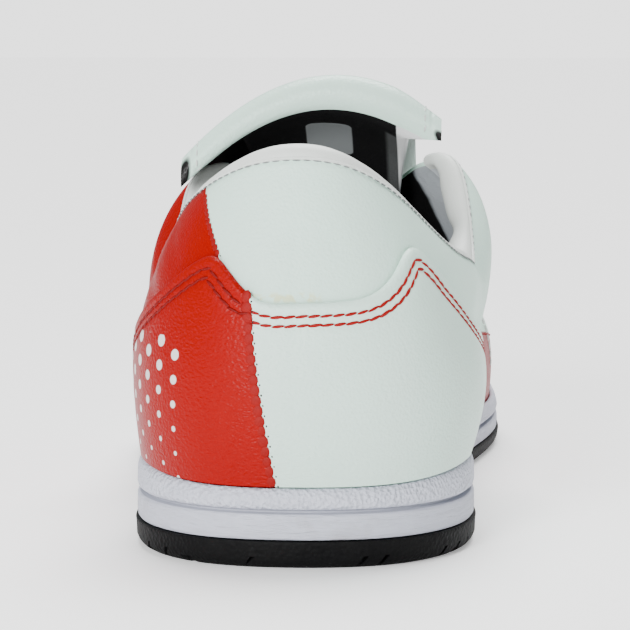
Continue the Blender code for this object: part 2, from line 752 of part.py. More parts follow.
def wall_share_at_height(around, height):
    """Share of the way up the wall at which its outer face reaches a height."""
    shares = np.linspace(0, 1, 81)
    return float(np.interp(height, wall_points(around, shares)[:, 2], shares))


def skin_point(around, share, offset):
    """A point inside (or, with a negative offset, outside) the upper's outer face."""
    step = 0.004
    here = wall_points(around, [max(share - step, 0), share, min(share + step, 1)])
    ahead, behind = wall_points(around + step, [share])[0], wall_points(around - step, [share])[0]
    inward = np.cross(here[2] - here[0], ahead - behind)
    return here[1] + inward / np.linalg.norm(inward) * offset


def counter_way(start, end, share, height):
    """The way round of a counter column, the seam leaning with the height."""
    seam = SEAM_LOW + (SEAM_HIGH - SEAM_LOW) * height
    first = seam if start is None else start
    last = seam if end is None else end
    gap = COUNTER_SEAM_GAP / 2 / (SOLE_LENGTH * HALF_GIRTH)
    first, last = first + (gap if start is None else 0), last - (gap if end is None else 0)
    return first + (last - first) * share


def build_counter(name, start, end, colour):
    """Part of the heel counter: a skin over the upper, from the sole's lip to its upper edge."""
    rings = []
    for share in np.linspace(0, 1, COUNTER_COLUMNS + 1):
        skins = []
        for up in np.linspace(0, 1, COUNTER_ROWS + 1):
            way = counter_way(start, end, share, up)
            base = wall_points(way, [0.0])[0][2] + SEAT_GAP
            top = max(float(COUNTER_AT([way])[0, 0]), base + COUNTER_LOW_EDGE)
            low_share, high_share = (wall_share_at_height(way, h) for h in (base, top))
            skins.append((way, low_share + (high_share - low_share) * up))
        near = [skin_point(way, where, -COUNTER_GAP) for way, where in skins]
        far = [skin_point(way, where, -COUNTER_GAP - COUNTER_SKIN) for way, where in skins]
        rings.append([*far, *near[::-1]])
    return strip_solid(name, rings, colour, 0.45)


def cut_tread(outsole):
    """Slanted grooves across the underside of heel and forefoot."""
    mesh = bpy.data.meshes.new("tread_cutter")
    work = bmesh.new()
    slant = math.radians(TREAD_SLANT)
    for share in TREAD_PLACES:
        box = bmesh.ops.create_cube(work, size=1.0)["verts"]
        for corner in box:
            x, y = corner.co.x * BALL_WIDTH * 1.4, corner.co.y * TREAD_WIDTH
            corner.co = (
                x * math.cos(slant) - y * math.sin(slant),
                x * math.sin(slant) + y * math.cos(slant) + share * SOLE_LENGTH,
                corner.co.z * 2 * TREAD_DEPTH,
            )
    work.to_mesh(mesh)
    work.free()
    cutter = bpy.data.objects.new("tread_cutter", mesh)
    bpy.context.scene.collection.objects.link(cutter)
    cutter.hide_render = True
    cutter.display_type = "WIRE"
    cut = outsole.modifiers.new("tread", "BOOLEAN")
    cut.operation = "DIFFERENCE"
    cut.solver = "EXACT"
    cut.object = cutter


def clear_scene():
    for old in list(bpy.data.objects):
        bpy.data.objects.remove(old, do_unlink=True)


def centre_over_origin():
    """Put the origin on the floor, under the middle of the shoe's box."""
    bpy.context.view_layer.update()
    pieces = list(bpy.context.scene.collection.objects)
    shown = [piece for piece in pieces if not piece.hide_render]
    corners = np.array([corner[:] for piece in shown for corner in piece.bound_box])
    middle = (corners.min(axis=0) + corners.max(axis=0)) / 2
    for piece in pieces:
        piece.location = (-middle[0], -middle[1], 0.0)


def main():
    clear_scene()
    build_upper()
    build_collar()
    build_tongue()
    cut_tread(build_outsole())
    build_midsole()
    build_insole()
    build_counter("counter_outer", COUNTER_END_OUTER, None, RED)
    build_counter("counter_rear", None, COUNTER_END_INNER, WHITE)
    centre_over_origin()


main()
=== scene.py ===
# %% [markdown]
# # An indoor soccer shoe, piece by piece
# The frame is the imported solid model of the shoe. This lesson dresses it: every piece is rebuilt
# from the same few sizes with many more points, and gets its seams, stitches, creases and finish.
# Starting from the frame keeps every piece where a maker would find it on the last.

import math

import bmesh
import bpy
import numpy as np
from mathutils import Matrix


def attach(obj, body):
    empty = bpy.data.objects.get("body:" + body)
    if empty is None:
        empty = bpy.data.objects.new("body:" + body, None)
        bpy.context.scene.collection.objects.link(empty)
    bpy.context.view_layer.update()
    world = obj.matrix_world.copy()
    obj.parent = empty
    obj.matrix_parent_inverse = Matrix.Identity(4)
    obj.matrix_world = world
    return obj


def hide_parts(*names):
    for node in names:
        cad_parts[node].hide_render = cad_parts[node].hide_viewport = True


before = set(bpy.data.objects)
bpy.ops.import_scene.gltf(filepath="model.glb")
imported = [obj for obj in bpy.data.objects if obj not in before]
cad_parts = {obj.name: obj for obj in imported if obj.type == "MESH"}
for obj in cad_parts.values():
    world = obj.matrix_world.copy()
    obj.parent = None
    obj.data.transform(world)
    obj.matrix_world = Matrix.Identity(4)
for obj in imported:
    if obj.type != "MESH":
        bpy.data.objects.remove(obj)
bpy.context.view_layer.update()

# %% [markdown]
# ## The camera
# The shoe is seen from behind and a little above, from under a metre away, with a long lens. The
# camera stands where the photographer stood and turns a few degrees towards the one shoe. Turning
# it, and not shifting its lens, keeps the perspective the same from every other side.

# %% Place the camera
CAMERA_PLACE = (0.04899, -0.80076, 0.119)
CAMERA_PITCH = math.radians(5.62)
CAMERA_YAW = math.radians(3.43)
LENS = 182.0
camera = bpy.data.objects.new("camera", bpy.data.cameras.new("camera"))
camera.location = CAMERA_PLACE
camera.rotation_euler = (math.pi / 2 - CAMERA_PITCH, 0.0, CAMERA_YAW)
camera.data.sensor_width = 36.0
camera.data.lens = LENS
camera.data.clip_start = 0.05
bpy.context.scene.collection.objects.link(camera)
bpy.context.scene.camera = camera
print("camera lens", LENS, "mm")

# %% [markdown]
# ## The sizes of the last
# A shoemaker's last is described by its length, two widths and a few heights. The tables below
# hold the sole's outline, the top line of the leather, the crest over the toes and the lean of the
# wall, each as shares of those sizes, so the dressed shoe has the form of the solid one.

# %% Sizes in metres
SOLE_LENGTH, BALL_WIDTH, HEEL_WIDTH = 0.282, 0.097, 0.074
COLLAR_BACK, COLLAR_DIP, INSTEP_HEIGHT = 0.0870, 0.0575, 0.0890
TOE_SPRING, ARCH_LIFT = 0.0095, 0.0022
OUTSOLE_HEEL, OUTSOLE_BALL = 0.0059, 0.0040
GROOVE_HEEL, GROOVE_BALL = 0.0122, 0.0084
LIP_HEEL, LIP_BALL = 0.0170, 0.0128
FLOOR_HEEL, FLOOR_BALL = 0.0108, 0.0072
SEAT_GAP, UPPER_WALL, CUP_WALL = 0.0003, 0.0020, 0.0024
UPPER_INSET = CUP_WALL + SEAT_GAP
THROAT_BASE, COLLAR_END = 0.56, 0.425
HALF_GIRTH = 1.17 * SOLE_LENGTH
SHIFT = np.array([0.004989, -0.140751, 0.0])
# along the sole, as shares of its length: where each form starts and ends, and its run
ARCH_FROM, ARCH_TO, ARCH_RUN = 0.31, 0.50, 0.08
TOE_FROM, TOE_CURL = 0.74, 1.7
TAPER_FROM, TAPER_RUN = 0.20, 0.42
HEEL_LIP_RISE, HEEL_LIP_RUN, HEEL_LIP_END, HEEL_LIP_FADE = 0.0022, 0.12, 0.45, 0.25
TOE_LIP_RISE, TOE_LIP_FROM, TOE_LIP_RUN = 0.0030, 0.82, 0.16

# along, share of the heel width, share of the ball width
SOLE_EDGE = (
    (0.000, 0.000, 0.000), (0.019, -0.285, 0.000), (0.070, -0.450, 0.000), (0.142, -0.512, 0.000),
    (0.262, -0.510, 0.000), (0.392, -0.300, -0.205), (0.520, 0.000, -0.496), (0.618, 0.000, -0.535),
    (0.722, 0.000, -0.526), (0.850, 0.000, -0.438), (0.952, 0.000, -0.266), (1.000, 0.000, 0.020),
    (0.958, 0.000, 0.262), (0.865, 0.000, 0.388), (0.765, 0.000, 0.432), (0.672, 0.000, 0.430),
    (0.572, 0.000, 0.388), (0.425, 0.000, 0.332), (0.275, 0.300, 0.118), (0.142, 0.510, 0.000),
    (0.070, 0.450, 0.000), (0.019, 0.285, 0.000),
)  # fmt: skip
TOE_ROW = 11
# way round, along, out, then shares of the collar's back, the collar's dip and the instep
TOP_LINE = (
    (-0.560, 0.590, -0.010, 0.00, 0.00, 0.752), (-0.545, 0.585, -0.085, 0.00, 0.00, 0.753),
    (-0.520, 0.560, -0.150, 0.00, 0.00, 0.770), (-0.490, 0.518, -0.208, 0.00, 0.00, 0.812),
    (-0.455, 0.475, -0.276, 0.00, 0.00, 0.858), (-0.420, 0.436, -0.366, 0.00, 0.00, 0.890),
    (-0.385, 0.402, -0.440, 0.00, 0.40, 0.580), (-0.345, 0.355, -0.462, 0.00, 1.06, 0.000),
    (-0.290, 0.288, -0.466, 0.00, 0.99, 0.000), (-0.220, 0.205, -0.416, 0.00, 1.13, 0.000),
    (-0.160, 0.132, -0.356, 0.850, 0.00, 0.000), (-0.100, 0.070, -0.250, 0.935, 0.00, 0.000),
    (-0.050, 0.040, -0.130, 0.985, 0.00, 0.000), (0.000, 0.032, 0.000, 1.000, 0.00, 0.000),
    (0.050, 0.040, 0.130, 0.985, 0.00, 0.000), (0.100, 0.070, 0.250, 0.925, 0.00, 0.000),
    (0.160, 0.132, 0.355, 0.820, 0.00, 0.000), (0.220, 0.205, 0.436, 0.00, 1.11, 0.000),
    (0.290, 0.288, 0.482, 0.00, 1.04, 0.000), (0.345, 0.355, 0.480, 0.00, 1.09, 0.000),
    (0.385, 0.402, 0.442, 0.00, 0.40, 0.620), (0.420, 0.436, 0.370, 0.00, 0.00, 0.918),
    (0.455, 0.475, 0.274, 0.00, 0.00, 0.868), (0.490, 0.518, 0.200, 0.00, 0.00, 0.816),
    (0.520, 0.560, 0.130, 0.00, 0.00, 0.772), (0.545, 0.585, 0.065, 0.00, 0.00, 0.754),
    (0.560, 0.590, -0.010, 0.00, 0.00, 0.752),
)  # fmt: skip
# way round, along, out, up
VAMP_CREST = (
    (0.56, 0.590, -0.010, 0.752), (0.65, 0.672, 0.000, 0.674), (0.75, 0.758, 0.015, 0.604),
    (0.85, 0.834, 0.025, 0.558), (0.93, 0.882, 0.030, 0.530), (1.00, 0.906, 0.030, 0.510),
)  # fmt: skip
# way round, outer lean, inner lean, slope at the top, low pull, high pull
WALL_SHAPE = (
    (0.000, 9.0, 9.0, 76.0, 0.40, 0.30), (0.060, 11.0, 11.0, 72.0, 0.40, 0.32),
    (0.120, 9.5, 15.0, 62.0, 0.42, 0.35), (0.180, 7.5, 18.0, 56.0, 0.43, 0.36),
    (0.260, 8.0, 20.0, 60.0, 0.42, 0.34), (0.330, 9.5, 21.0, 60.0, 0.40, 0.34),
    (0.400, 12.0, 20.0, 42.0, 0.38, 0.38), (0.480, 16.0, 16.0, 26.0, 0.40, 0.42),
    (0.560, 11.0, 10.0, 4.0, 0.44, 0.46), (0.660, 6.0, 6.0, 0.0, 0.50, 0.50),
    (0.780, 4.0, 5.0, 0.0, 0.52, 0.52), (0.900, 4.0, 5.0, 0.0, 0.57, 0.56),
    (1.000, 4.0, 4.0, 0.0, 0.58, 0.56),
)  # fmt: skip
# way round, share of the collar's back
COUNTER_EDGE = (
    (-0.400, 0.262), (-0.330, 0.330), (-0.250, 0.420), (-0.210, 0.478), (-0.175, 0.535),
    (-0.145, 0.595), (-0.120, 0.650), (-0.098, 0.704), (-0.080, 0.742), (-0.068, 0.750),
    (-0.055, 0.722), (-0.040, 0.678), (-0.025, 0.650), (0.000, 0.645), (0.040, 0.650),
    (0.060, 0.664), (0.080, 0.712), (0.092, 0.752), (0.103, 0.766), (0.115, 0.748),
    (0.132, 0.700), (0.152, 0.645), (0.175, 0.590), (0.230, 0.505), (0.280, 0.448),
    (0.340, 0.385), (0.400, 0.320), (0.440, 0.280), (0.480, 0.250),
)  # fmt: skip


# %% [markdown]
# ## A smooth curve through a table
# A spline is the usual way to draw a line through a few measured points. This one passes through
# every row of a table and has no corner, and it works on whole lists of places at once, which is
# what makes a mesh with tens of thousands of points quick to build.

# %% Splines
def smooth_curve(knots, rows, closed=False):
    """A function giving points on the smooth curve that passes through rows at the given knots."""
    knots, rows = np.asarray(knots, float), np.asarray(rows, float)
    gaps = np.diff(knots)
    rises = np.diff(rows, axis=0) / gaps[:, None]
    count = len(knots)
    system, right = np.zeros((count, count)), np.zeros_like(rows)
    for i in range(1, count - 1):
        system[i, i - 1 : i + 2] = gaps[i], 2 * (gaps[i - 1] + gaps[i]), gaps[i - 1]
        right[i] = 3 * (gaps[i] * rises[i - 1] + gaps[i - 1] * rises[i])
    if closed:
        system[0, [0, 1, -2]] = 2 * (gaps[-1] + gaps[0]), gaps[-1], gaps[0]
        right[0] = 3 * (gaps[0] * rises[-1] + gaps[-1] * rises[0])
        system[-1, [0, -1]] = 1, -1
    else:
        system[0, :2], system[-1, -2:] = (2, 1), (1, 2)
        right[0], right[-1] = 3 * rises[0], 3 * rises[-1]
    slopes = np.linalg.solve(system, right)

    def at(where):
        where = np.atleast_1d(np.asarray(where, float))
        i = np.clip(np.searchsorted(knots, where, side="right") - 1, 0, count - 2)
        gap, u = gaps[i][:, None], ((where - knots[i]) / gaps[i])[:, None]
        ends = rows[i] * (1 + 2 * u) * (1 - u) ** 2 + rows[i + 1] * u**2 * (3 - 2 * u)
        return ends + slopes[i] * gap * u * (1 - u) ** 2 + slopes[i + 1] * gap * u**2 * (u - 1)

    return at


def eased(share):
    share = np.clip(share, 0, 1)
    return share * share * (3 - 2 * share)


def wrapped(way):
    """A way round the shoe brought back between -1 and 1, both of which are the toe."""
    return np.where(way > 1, way - 2, np.where(way < -1, way + 2, way))


def edge_curve():
    """The sole's outline in plan as a function of the way round."""
    points = [(h * HEEL_WIDTH + b * BALL_WIDTH, y * SOLE_LENGTH) for y, h, b in SOLE_EDGE]
    points = np.array([*points, points[0]])
    knots = np.concatenate([[0], np.cumsum(np.linalg.norm(np.diff(points, axis=0), axis=1))])
    curve = smooth_curve(knots, points, closed=True)
    tables = []
    for start in (0, knots[-1]):
        way = np.linspace(start, knots[TOE_ROW], 400)
        steps = np.linalg.norm(np.diff(curve(way), axis=0), axis=1)
        share = np.concatenate([[0], np.cumsum(steps)])
        tables.append((share / share[-1], way))

    def at(around):
        around = np.atleast_1d(np.asarray(around, float))
        outer, inner = np.interp(-around, *tables[0]), np.interp(around, *tables[1])
        return curve(np.where(around < 0, outer, inner))

    return at


EDGE_AT = edge_curve()
RIM_AT = smooth_curve(
    [row[0] for row in TOP_LINE],
    [
        (x * HEEL_WIDTH, y * SOLE_LENGTH, b * COLLAR_BACK + d * COLLAR_DIP + i * INSTEP_HEIGHT)
        for _, y, x, b, d, i in TOP_LINE
    ],
)
CREST_AT = smooth_curve(
    [row[0] for row in VAMP_CREST],
    [(x * HEEL_WIDTH, y * SOLE_LENGTH, up * INSTEP_HEIGHT) for _, y, x, up in VAMP_CREST],
)
WALL_AT = smooth_curve([row[0] for row in WALL_SHAPE], [row[1:] for row in WALL_SHAPE])
COUNTER_AT = smooth_curve(
    [row[0] for row in COUNTER_EDGE], [(row[1] * COLLAR_BACK,) for row in COUNTER_EDGE]
)
print("outline from", EDGE_AT([0.0])[0].round(4), "to", EDGE_AT([1.0])[0].round(4))


# %% Heights of the sole
def edge_normals(around, step=0.002):
    """Outward directions of the sole's outline in plan."""
    around = np.asarray(around, float)
    run = EDGE_AT(wrapped(around + step)) - EDGE_AT(wrapped(around - step))
    out = np.stack([run[:, 1], -run[:, 0]], axis=1)
    return out / np.linalg.norm(out, axis=1)[:, None]


def inset_edge(around, inset):
    return EDGE_AT(around) - edge_normals(around) * inset


def lift(along):
    """Height of the underside: flat under heel and ball, an arch, and the toe spring."""
    share = np.asarray(along, float) / SOLE_LENGTH
    arch = eased((share - ARCH_FROM) / ARCH_RUN) * eased((ARCH_TO - share) / ARCH_RUN)
    toe = np.clip((share - TOE_FROM) / (1 - TOE_FROM), 0, None)
    return ARCH_LIFT * arch + TOE_SPRING * toe**TOE_CURL


def layer(along, at_heel, at_ball):
    share = np.asarray(along, float) / SOLE_LENGTH
    return lift(along) + at_heel + (at_ball - at_heel) * eased((share - TAPER_FROM) / TAPER_RUN)


def lip_height(along):
    """Top of the midsole's side: it rises a little beside the heel and at the toe."""
    share = np.asarray(along, float) / SOLE_LENGTH
    heel = HEEL_LIP_RISE * eased(share / HEEL_LIP_RUN) * eased((HEEL_LIP_END - share) / HEEL_LIP_FADE)
    toe = TOE_LIP_RISE * eased((share - TOE_LIP_FROM) / TOE_LIP_RUN)
    return layer(along, LIP_HEEL, LIP_BALL) + heel + toe


# %% [markdown]
# ## The wall over the last
# On the real shoe the leather is pulled over the last and takes its form. Here the wall is a
# family of curves, one for each way round the shoe, from the sole's lip up to the top line or, in
# front of the throat, to the crest of the toes. A cubic curve with a lean at each end is enough,
# because leather under tension has no wiggles. Sculpting would give a less even last.

# %% The wall as a function
CREST_STEP, FINE_SHARES = 0.01, 161


def wall(ways, shares):
    """Points on the leather's outer face: an array (ways, shares, 3)."""
    ways = np.atleast_1d(np.asarray(ways, float))
    s = np.asarray(shares, float)
    s = (np.broadcast_to(s, (len(ways), len(s))) if s.ndim == 1 else s)[:, :, None]
    base, out, size = inset_edge(ways, UPPER_INSET), edge_normals(ways), np.abs(ways)
    low = np.column_stack([base, lip_height(base[:, 1]) + SEAT_GAP])
    lean_outer, lean_inner, arrive, low_pull, high_pull = WALL_AT(size).T
    lean, slope = np.radians(np.where(ways < 0, lean_outer, lean_inner)), np.radians(arrive)
    opening = (size < THROAT_BASE)[:, None]
    rim = RIM_AT(np.clip(ways, -THROAT_BASE, THROAT_BASE))
    top = np.where(opening, rim, CREST_AT(np.clip(size, THROAT_BASE, 1)))
    ahead = CREST_AT(np.clip(size + CREST_STEP, THROAT_BASE, 1))
    behind = CREST_AT(np.clip(size - CREST_STEP, THROAT_BASE, 1))
    fall = (ahead[:, 2] - behind[:, 2]) / np.maximum(ahead[:, 1] - behind[:, 1], 1e-6)
    leather = np.column_stack([-out * np.cos(slope)[:, None], np.sin(slope)])
    vamp = np.column_stack([-out, -out[:, 1] * fall + np.sin(slope)])
    arriving = np.where(opening, leather, vamp)
    rise, reach = top[:, 2] - low[:, 2], np.hypot(*(top - low)[:, :2].T)
    length = np.where(opening[:, 0], np.maximum(rise, reach), reach)
    leaving = np.column_stack([out * np.sin(lean)[:, None], np.cos(lean)])
    first = low + leaving * (rise * low_pull)[:, None]
    second = top - arriving * (length * high_pull)[:, None]
    low, first, second, top = (p[:, None] for p in (low, first, second, top))
    near = low * (1 - s) ** 3 + 3 * first * s * (1 - s) ** 2
    return near + 3 * second * s**2 * (1 - s) + top * s**3


def wall_skin(ways, shares, offset, step=0.004):
    """Points off the outer face by an offset, positive towards the foot."""
    ways = np.atleast_1d(np.asarray(ways, float))
    shares = np.asarray(shares, float)
    shares = np.broadcast_to(shares, (len(ways), len(shares))) if shares.ndim == 1 else shares
    here = wall(ways, shares)
    up = wall(ways, np.minimum(shares + step, 1)) - wall(ways, np.maximum(shares - step, 0))
    run = wall(wrapped(ways + step), shares) - wall(wrapped(ways - step), shares)
    inward = np.cross(up, run)
    inward /= np.maximum(np.linalg.norm(inward, axis=2)[:, :, None], 1e-12)
    return here + inward * np.asarray(offset)[..., None], inward


def wall_length(ways):
    points = wall(ways, np.linspace(0, 1, 25))
    return np.linalg.norm(np.diff(points, axis=1), axis=2).sum(axis=1)


def share_at_height(ways, height):
    """Share of the way up the wall at which its outer face reaches a height."""
    shares = np.linspace(0, 1, FINE_SHARES)
    points = wall(ways, shares)
    height = np.broadcast_to(height, (len(points),))
    return np.array([np.interp(h, p[:, 2], shares) for h, p in zip(height, points)])


BINDING_HEIGHT, BINDING_FADE, EDGE_FULLNESS = 0.0012, 0.02, 0.4


def leather_top(ways):
    """Share of the way up at which the leather ends: under the binding, along the collar."""
    bound = eased((COLLAR_END + BINDING_FADE - np.abs(ways)) / BINDING_FADE)
    return 1 - bound * BINDING_HEIGHT / wall_length(ways)


print("wall at the heel", wall([0.0], [0, 0.5, 1]).round(4).tolist())


# %% [markdown]
# ## From points to a piece
# Each piece is a closed mesh. The helper below joins its points, turns the faces outwards and
# keeps, in a UV map, the way round the shoe and the height of every corner, so that a material can
# follow the wall and not the world.

# %% Mesh helper
MERGE_DISTANCE, SHARP_FROM = 1e-6, 50


def add_piece(name, points, faces, materials, guide, slots=None):
    """A closed piece in the frame's place. guide holds two numbers a point for the UV map."""
    points = np.asarray(points).reshape(-1, 3) + SHIFT
    mesh = bpy.data.meshes.new(name)
    mesh.from_pydata(points.tolist(), [], [list(dict.fromkeys(face)) for face in faces])
    for material in materials:
        mesh.materials.append(material)
    if slots is not None:
        mesh.polygons.foreach_set("material_index", slots)
    point_guide = mesh.attributes.new("guide", "FLOAT2", "POINT")
    point_guide.data.foreach_set("vector", np.asarray(guide, np.float32).ravel())
    work = bmesh.new()
    work.from_mesh(mesh)
    bmesh.ops.remove_doubles(work, verts=work.verts, dist=MERGE_DISTANCE)
    bmesh.ops.recalc_face_normals(work, faces=work.faces)
    if work.calc_volume(signed=True) < 0:
        bmesh.ops.reverse_faces(work, faces=work.faces)
    loose = sum(1 for edge in work.edges if not edge.is_manifold)
    work.to_mesh(mesh)
    work.free()
    guide_to_corners(mesh)
    mesh.shade_smooth()
    mesh.set_sharp_from_angle(angle=math.radians(SHARP_FROM))
    made = bpy.data.objects.new(name, mesh)
    bpy.context.scene.collection.objects.link(made)
    triangles = sum(len(p.vertices) - 2 for p in mesh.polygons)
    print(f"{name}: {triangles} triangles, open edges {loose}")
    return made


def guide_to_corners(mesh):
    """Turns the points' guide into a UV map, without a jump where the way round closes."""
    corner_vertex = np.zeros(len(mesh.loops), int)
    mesh.loops.foreach_get("vertex_index", corner_vertex)
    kept = np.zeros(len(mesh.vertices) * 2, np.float32)
    mesh.attributes["guide"].data.foreach_get("vector", kept)
    corners = kept.reshape(-1, 2)[corner_vertex]
    starts = np.zeros(len(mesh.polygons), int)
    mesh.polygons.foreach_get("loop_start", starts)
    around = corners[:, 0]
    spread = np.maximum.reduceat(around, starts) - np.minimum.reduceat(around, starts)
    totals = np.diff([*starts, len(corners)])
    turned = np.repeat(spread > HALF_GIRTH, totals) & (around < 0)
    corners[turned, 0] += 2 * HALF_GIRTH
    mesh.attributes.remove(mesh.attributes["guide"])
    mesh.uv_layers.new(name="guide").uv.foreach_set("vector", corners.ravel())


def wall_guide(ways, points):
    """Way round in metres and height for a grid of points with one way a row."""
    around = np.repeat(ways[:, None] * HALF_GIRTH, points.shape[1], 1)
    return np.stack([around, points[..., 2]], axis=-1)


def seat(piece, slot, *nodes):
    """The piece rides on the shoe and, where nodes are named, stands for them."""
    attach(piece, "root")
    if nodes:
        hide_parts(*nodes)
    return piece


def grid_faces(rings, count, closed=True):
    """Quads between rings of equal count."""
    k, i = np.meshgrid(np.arange(rings - 1), np.arange(count if closed else count - 1), indexing="ij")
    n = (i + 1) % count
    quads = np.stack([k * count + i, k * count + n, (k + 1) * count + n, (k + 1) * count + i], axis=-1)
    return quads.reshape(-1, 4).tolist()


def end_ladders(rings, count):
    """Faces that close both ends of a flat tube, rung by rung."""
    return [
        [ring * count + v for v in (i, i + 1, count - i - 2, count - i - 1)]
        for ring in (0, rings - 1)
        for i in range(count // 2 - 1)
    ]


def end_caps(rings, count):
    """One face at each end of a tube."""
    return [list(range(count)), [(rings - 1) * count + i for i in range(count)]]


def ways_round(collar, throat, toe):
    """Ways round at which the upper has a column, from the toe over the outer side and back."""
    parts = (
        np.linspace(0, COLLAR_END, collar, endpoint=False),
        np.linspace(COLLAR_END, THROAT_BASE, throat, endpoint=False),
        np.linspace(THROAT_BASE, 1, toe + 1),
    )
    side = np.concatenate(parts)
    return np.concatenate([-side[::-1], side[1:-1]])


# %% [markdown]
# ## Writing a finish as arithmetic
# A finish is a sum of masks and grains. Wiring node after node by hand hides that sum, so a small
# class wraps a socket and turns Python's operators into Math nodes. A mask can then be written as
# one line, and the same seam line can be used by the colour and by the bump.

# %% Signals and finishes
class Signal:
    """A number that varies over a surface; operators on it add Math nodes."""

    def __init__(self, socket):
        self.socket, self.tree = socket, socket.id_data

    def math(self, operation, *values, clamp=False):
        node = self.tree.nodes.new("ShaderNodeMath")
        node.operation, node.use_clamp = operation, clamp
        for slot, value in zip(node.inputs, values):
            plug(slot, value)
        return Signal(node.outputs[0])

    def __add__(self, other):
        return self.math("ADD", self, other)

    def __sub__(self, other):
        return self.math("SUBTRACT", self, other)

    def __rsub__(self, other):
        return self.math("SUBTRACT", other, self)

    def __mul__(self, other):
        return self.math("MULTIPLY", self, other)

    def __truediv__(self, other):
        return self.math("DIVIDE", self, other)

    def __pow__(self, other):
        return self.math("POWER", self, other)

    __radd__, __rmul__ = __add__, __mul__

    def above(self, edge, soft=0.0002):
        """1 where the signal is over the edge, 0 under it, with a soft step."""
        return self.math("ADD", (self - edge) / soft, 0.5, clamp=True)

    def below(self, edge, soft=0.0002):
        return 1 - self.above(edge, soft)

    def absolute(self):
        return self.math("ABSOLUTE", self)


def plug(slot, value):
    """Sets a socket, or links a signal or another socket to it."""
    if isinstance(value, Signal):
        value = value.socket
    if isinstance(value, bpy.types.NodeSocket):
        slot.id_data.links.new(value, slot)
    else:
        slot.default_value = value


class Finish:
    """A material under construction."""

    def __init__(self, name):
        self.material = bpy.data.materials.new(name)
        self.material.use_nodes = True
        self.tree = self.material.node_tree
        self.shader = self.tree.nodes["Principled BSDF"]
        self.place = self.node("ShaderNodeTexCoord").outputs["Object"]

    def node(self, kind, settings=(), **sockets):
        made = self.tree.nodes.new(kind)
        for key, value in dict(settings).items():
            setattr(made, key, value)
        for key, value in sockets.items():
            plug(made.inputs[key], value)
        return made

    def guide(self):
        """Way round the shoe in metres, and height in metres, from the piece's UV map."""
        chart = self.node("ShaderNodeUVMap", {"uv_map": "guide"}).outputs[0]
        parts = self.node("ShaderNodeSeparateXYZ", Vector=chart).outputs
        return Signal(parts[0]), Signal(parts[1])

    def noise(self, scale, detail=2.0, rough=0.5, vector=None):
        sockets = {"Vector": vector or self.place, "Scale": scale, "Detail": detail, "Roughness": rough}
        return Signal(self.node("ShaderNodeTexNoise", **sockets).outputs[0])

    def cells(self, scale, feature="F1", vector=None):
        sockets = {"Vector": vector or self.place, "Scale": scale}
        made = self.node("ShaderNodeTexVoronoi", {"feature": feature}, **sockets)
        return Signal(made.outputs["Distance"])

    def stretched(self, scale, turn=(0.0, 0.0, 0.0)):
        """Object coordinates turned and drawn out, for grain with a direction."""
        return self.node("ShaderNodeMapping", Vector=self.place, Scale=scale, Rotation=turn).outputs[0]

    def mix(self, factor, low, high):
        made = self.node("ShaderNodeMix", {"data_type": "RGBA"})
        for slot, value in zip((made.inputs[0], made.inputs[6], made.inputs[7]), (factor, low, high)):
            plug(slot, value)
        return made.outputs[2]

    def bump(self, height, distance, strength=1.0, under=None):
        made = self.node("ShaderNodeBump", Height=height, Distance=distance, Strength=strength)
        if under is not None:
            plug(made.inputs["Normal"], under)
        return made.outputs[0]

    def done(self, **sockets):
        for key, value in sockets.items():
            plug(self.shader.inputs[key.replace("_", " ")], value)
        return self.material


def paint(red, green, blue):
    """A colour given as it looks on a screen, from 0 to 255, in the shader's linear numbers."""
    screen = np.array([red, green, blue]) / 255
    linear = np.where(screen < 0.04, screen / 12.92, ((screen + 0.055) / 1.055) ** 2.4)
    return (*linear.tolist(), 1.0)


# %% [markdown]
# ## Coated leather
# The shoe's leather is a textile with a coloured coat, rolled with a fine grain. Close to a seam it
# has short wrinkles, and the coat's gloss varies a little at random. Cells give the grain,
# drawn-out noise gives the wrinkles; both are bump, because they are a few hundredths of a
# millimetre deep. The panels' colours come from seam lines in the guide.

# %% Colours and the leather's grain
WHITE = paint(210, 240, 226)
OFF_WHITE = paint(222, 228, 224)
RED = paint(150, 1, 1)
DEEP_RED = paint(118, 2, 2)
SOLE_WHITE = paint(208, 211, 224)
CHARCOAL = paint(13, 13, 14)
LINING = paint(8, 8, 9)
GREY = paint(128, 132, 133)
GLUE = paint(214, 206, 128)


def leather_grain(finish, wrinkles):
    """Bump of fine grain, with wrinkles where the signal asks for them."""
    grain = finish.cells(1300.0) * 0.6 + finish.noise(2200.0, 3.0) * 0.4
    folds = finish.cells(620.0, "DISTANCE_TO_EDGE", finish.stretched((1.0, 1.0, 1.9), (0.3, 0.5, 0.2)))
    furrow = folds.below(0.16, 0.22) * wrinkles
    soft = finish.noise(90.0, 2.0)
    first = finish.bump(grain, 0.0002, 0.7)
    second = finish.bump(1 - furrow, 0.00006, 0.7, first)
    return finish.bump(soft, 0.0005, 0.35, second)


# the quarter's seam: way round at one height, its lean and its bend
QUARTER_WAY, QUARTER_HEIGHT, QUARTER_LEAN, QUARTER_BEND = 0.060, 0.0627, 2.4, 30.0
# the vamp's seam: way round at one height, and its lean
VAMP_SEAM, VAMP_HEIGHT, VAMP_LEAN = 0.655, 0.03, 0.5
# the inner side's stripe: where it starts, bends and ends, its top and how fast it falls
STRIPE_LOW, STRIPE_BEND, STRIPE_END, STRIPE_TOP, STRIPE_FALL = 0.245, 0.34, 0.80, 0.0424, 0.036
STRIPE_CUT = 1.5
SEAM_HALF, SEAM_SOFT, SEAM_TOP = 0.0006, 0.0008, 0.087
# a trace of glue over the counter's edge: middle, half length, half width
GLUE_WAY, GLUE_HEIGHT, GLUE_LONG, GLUE_WIDE = -0.003, 0.0572, 0.009, 0.0009


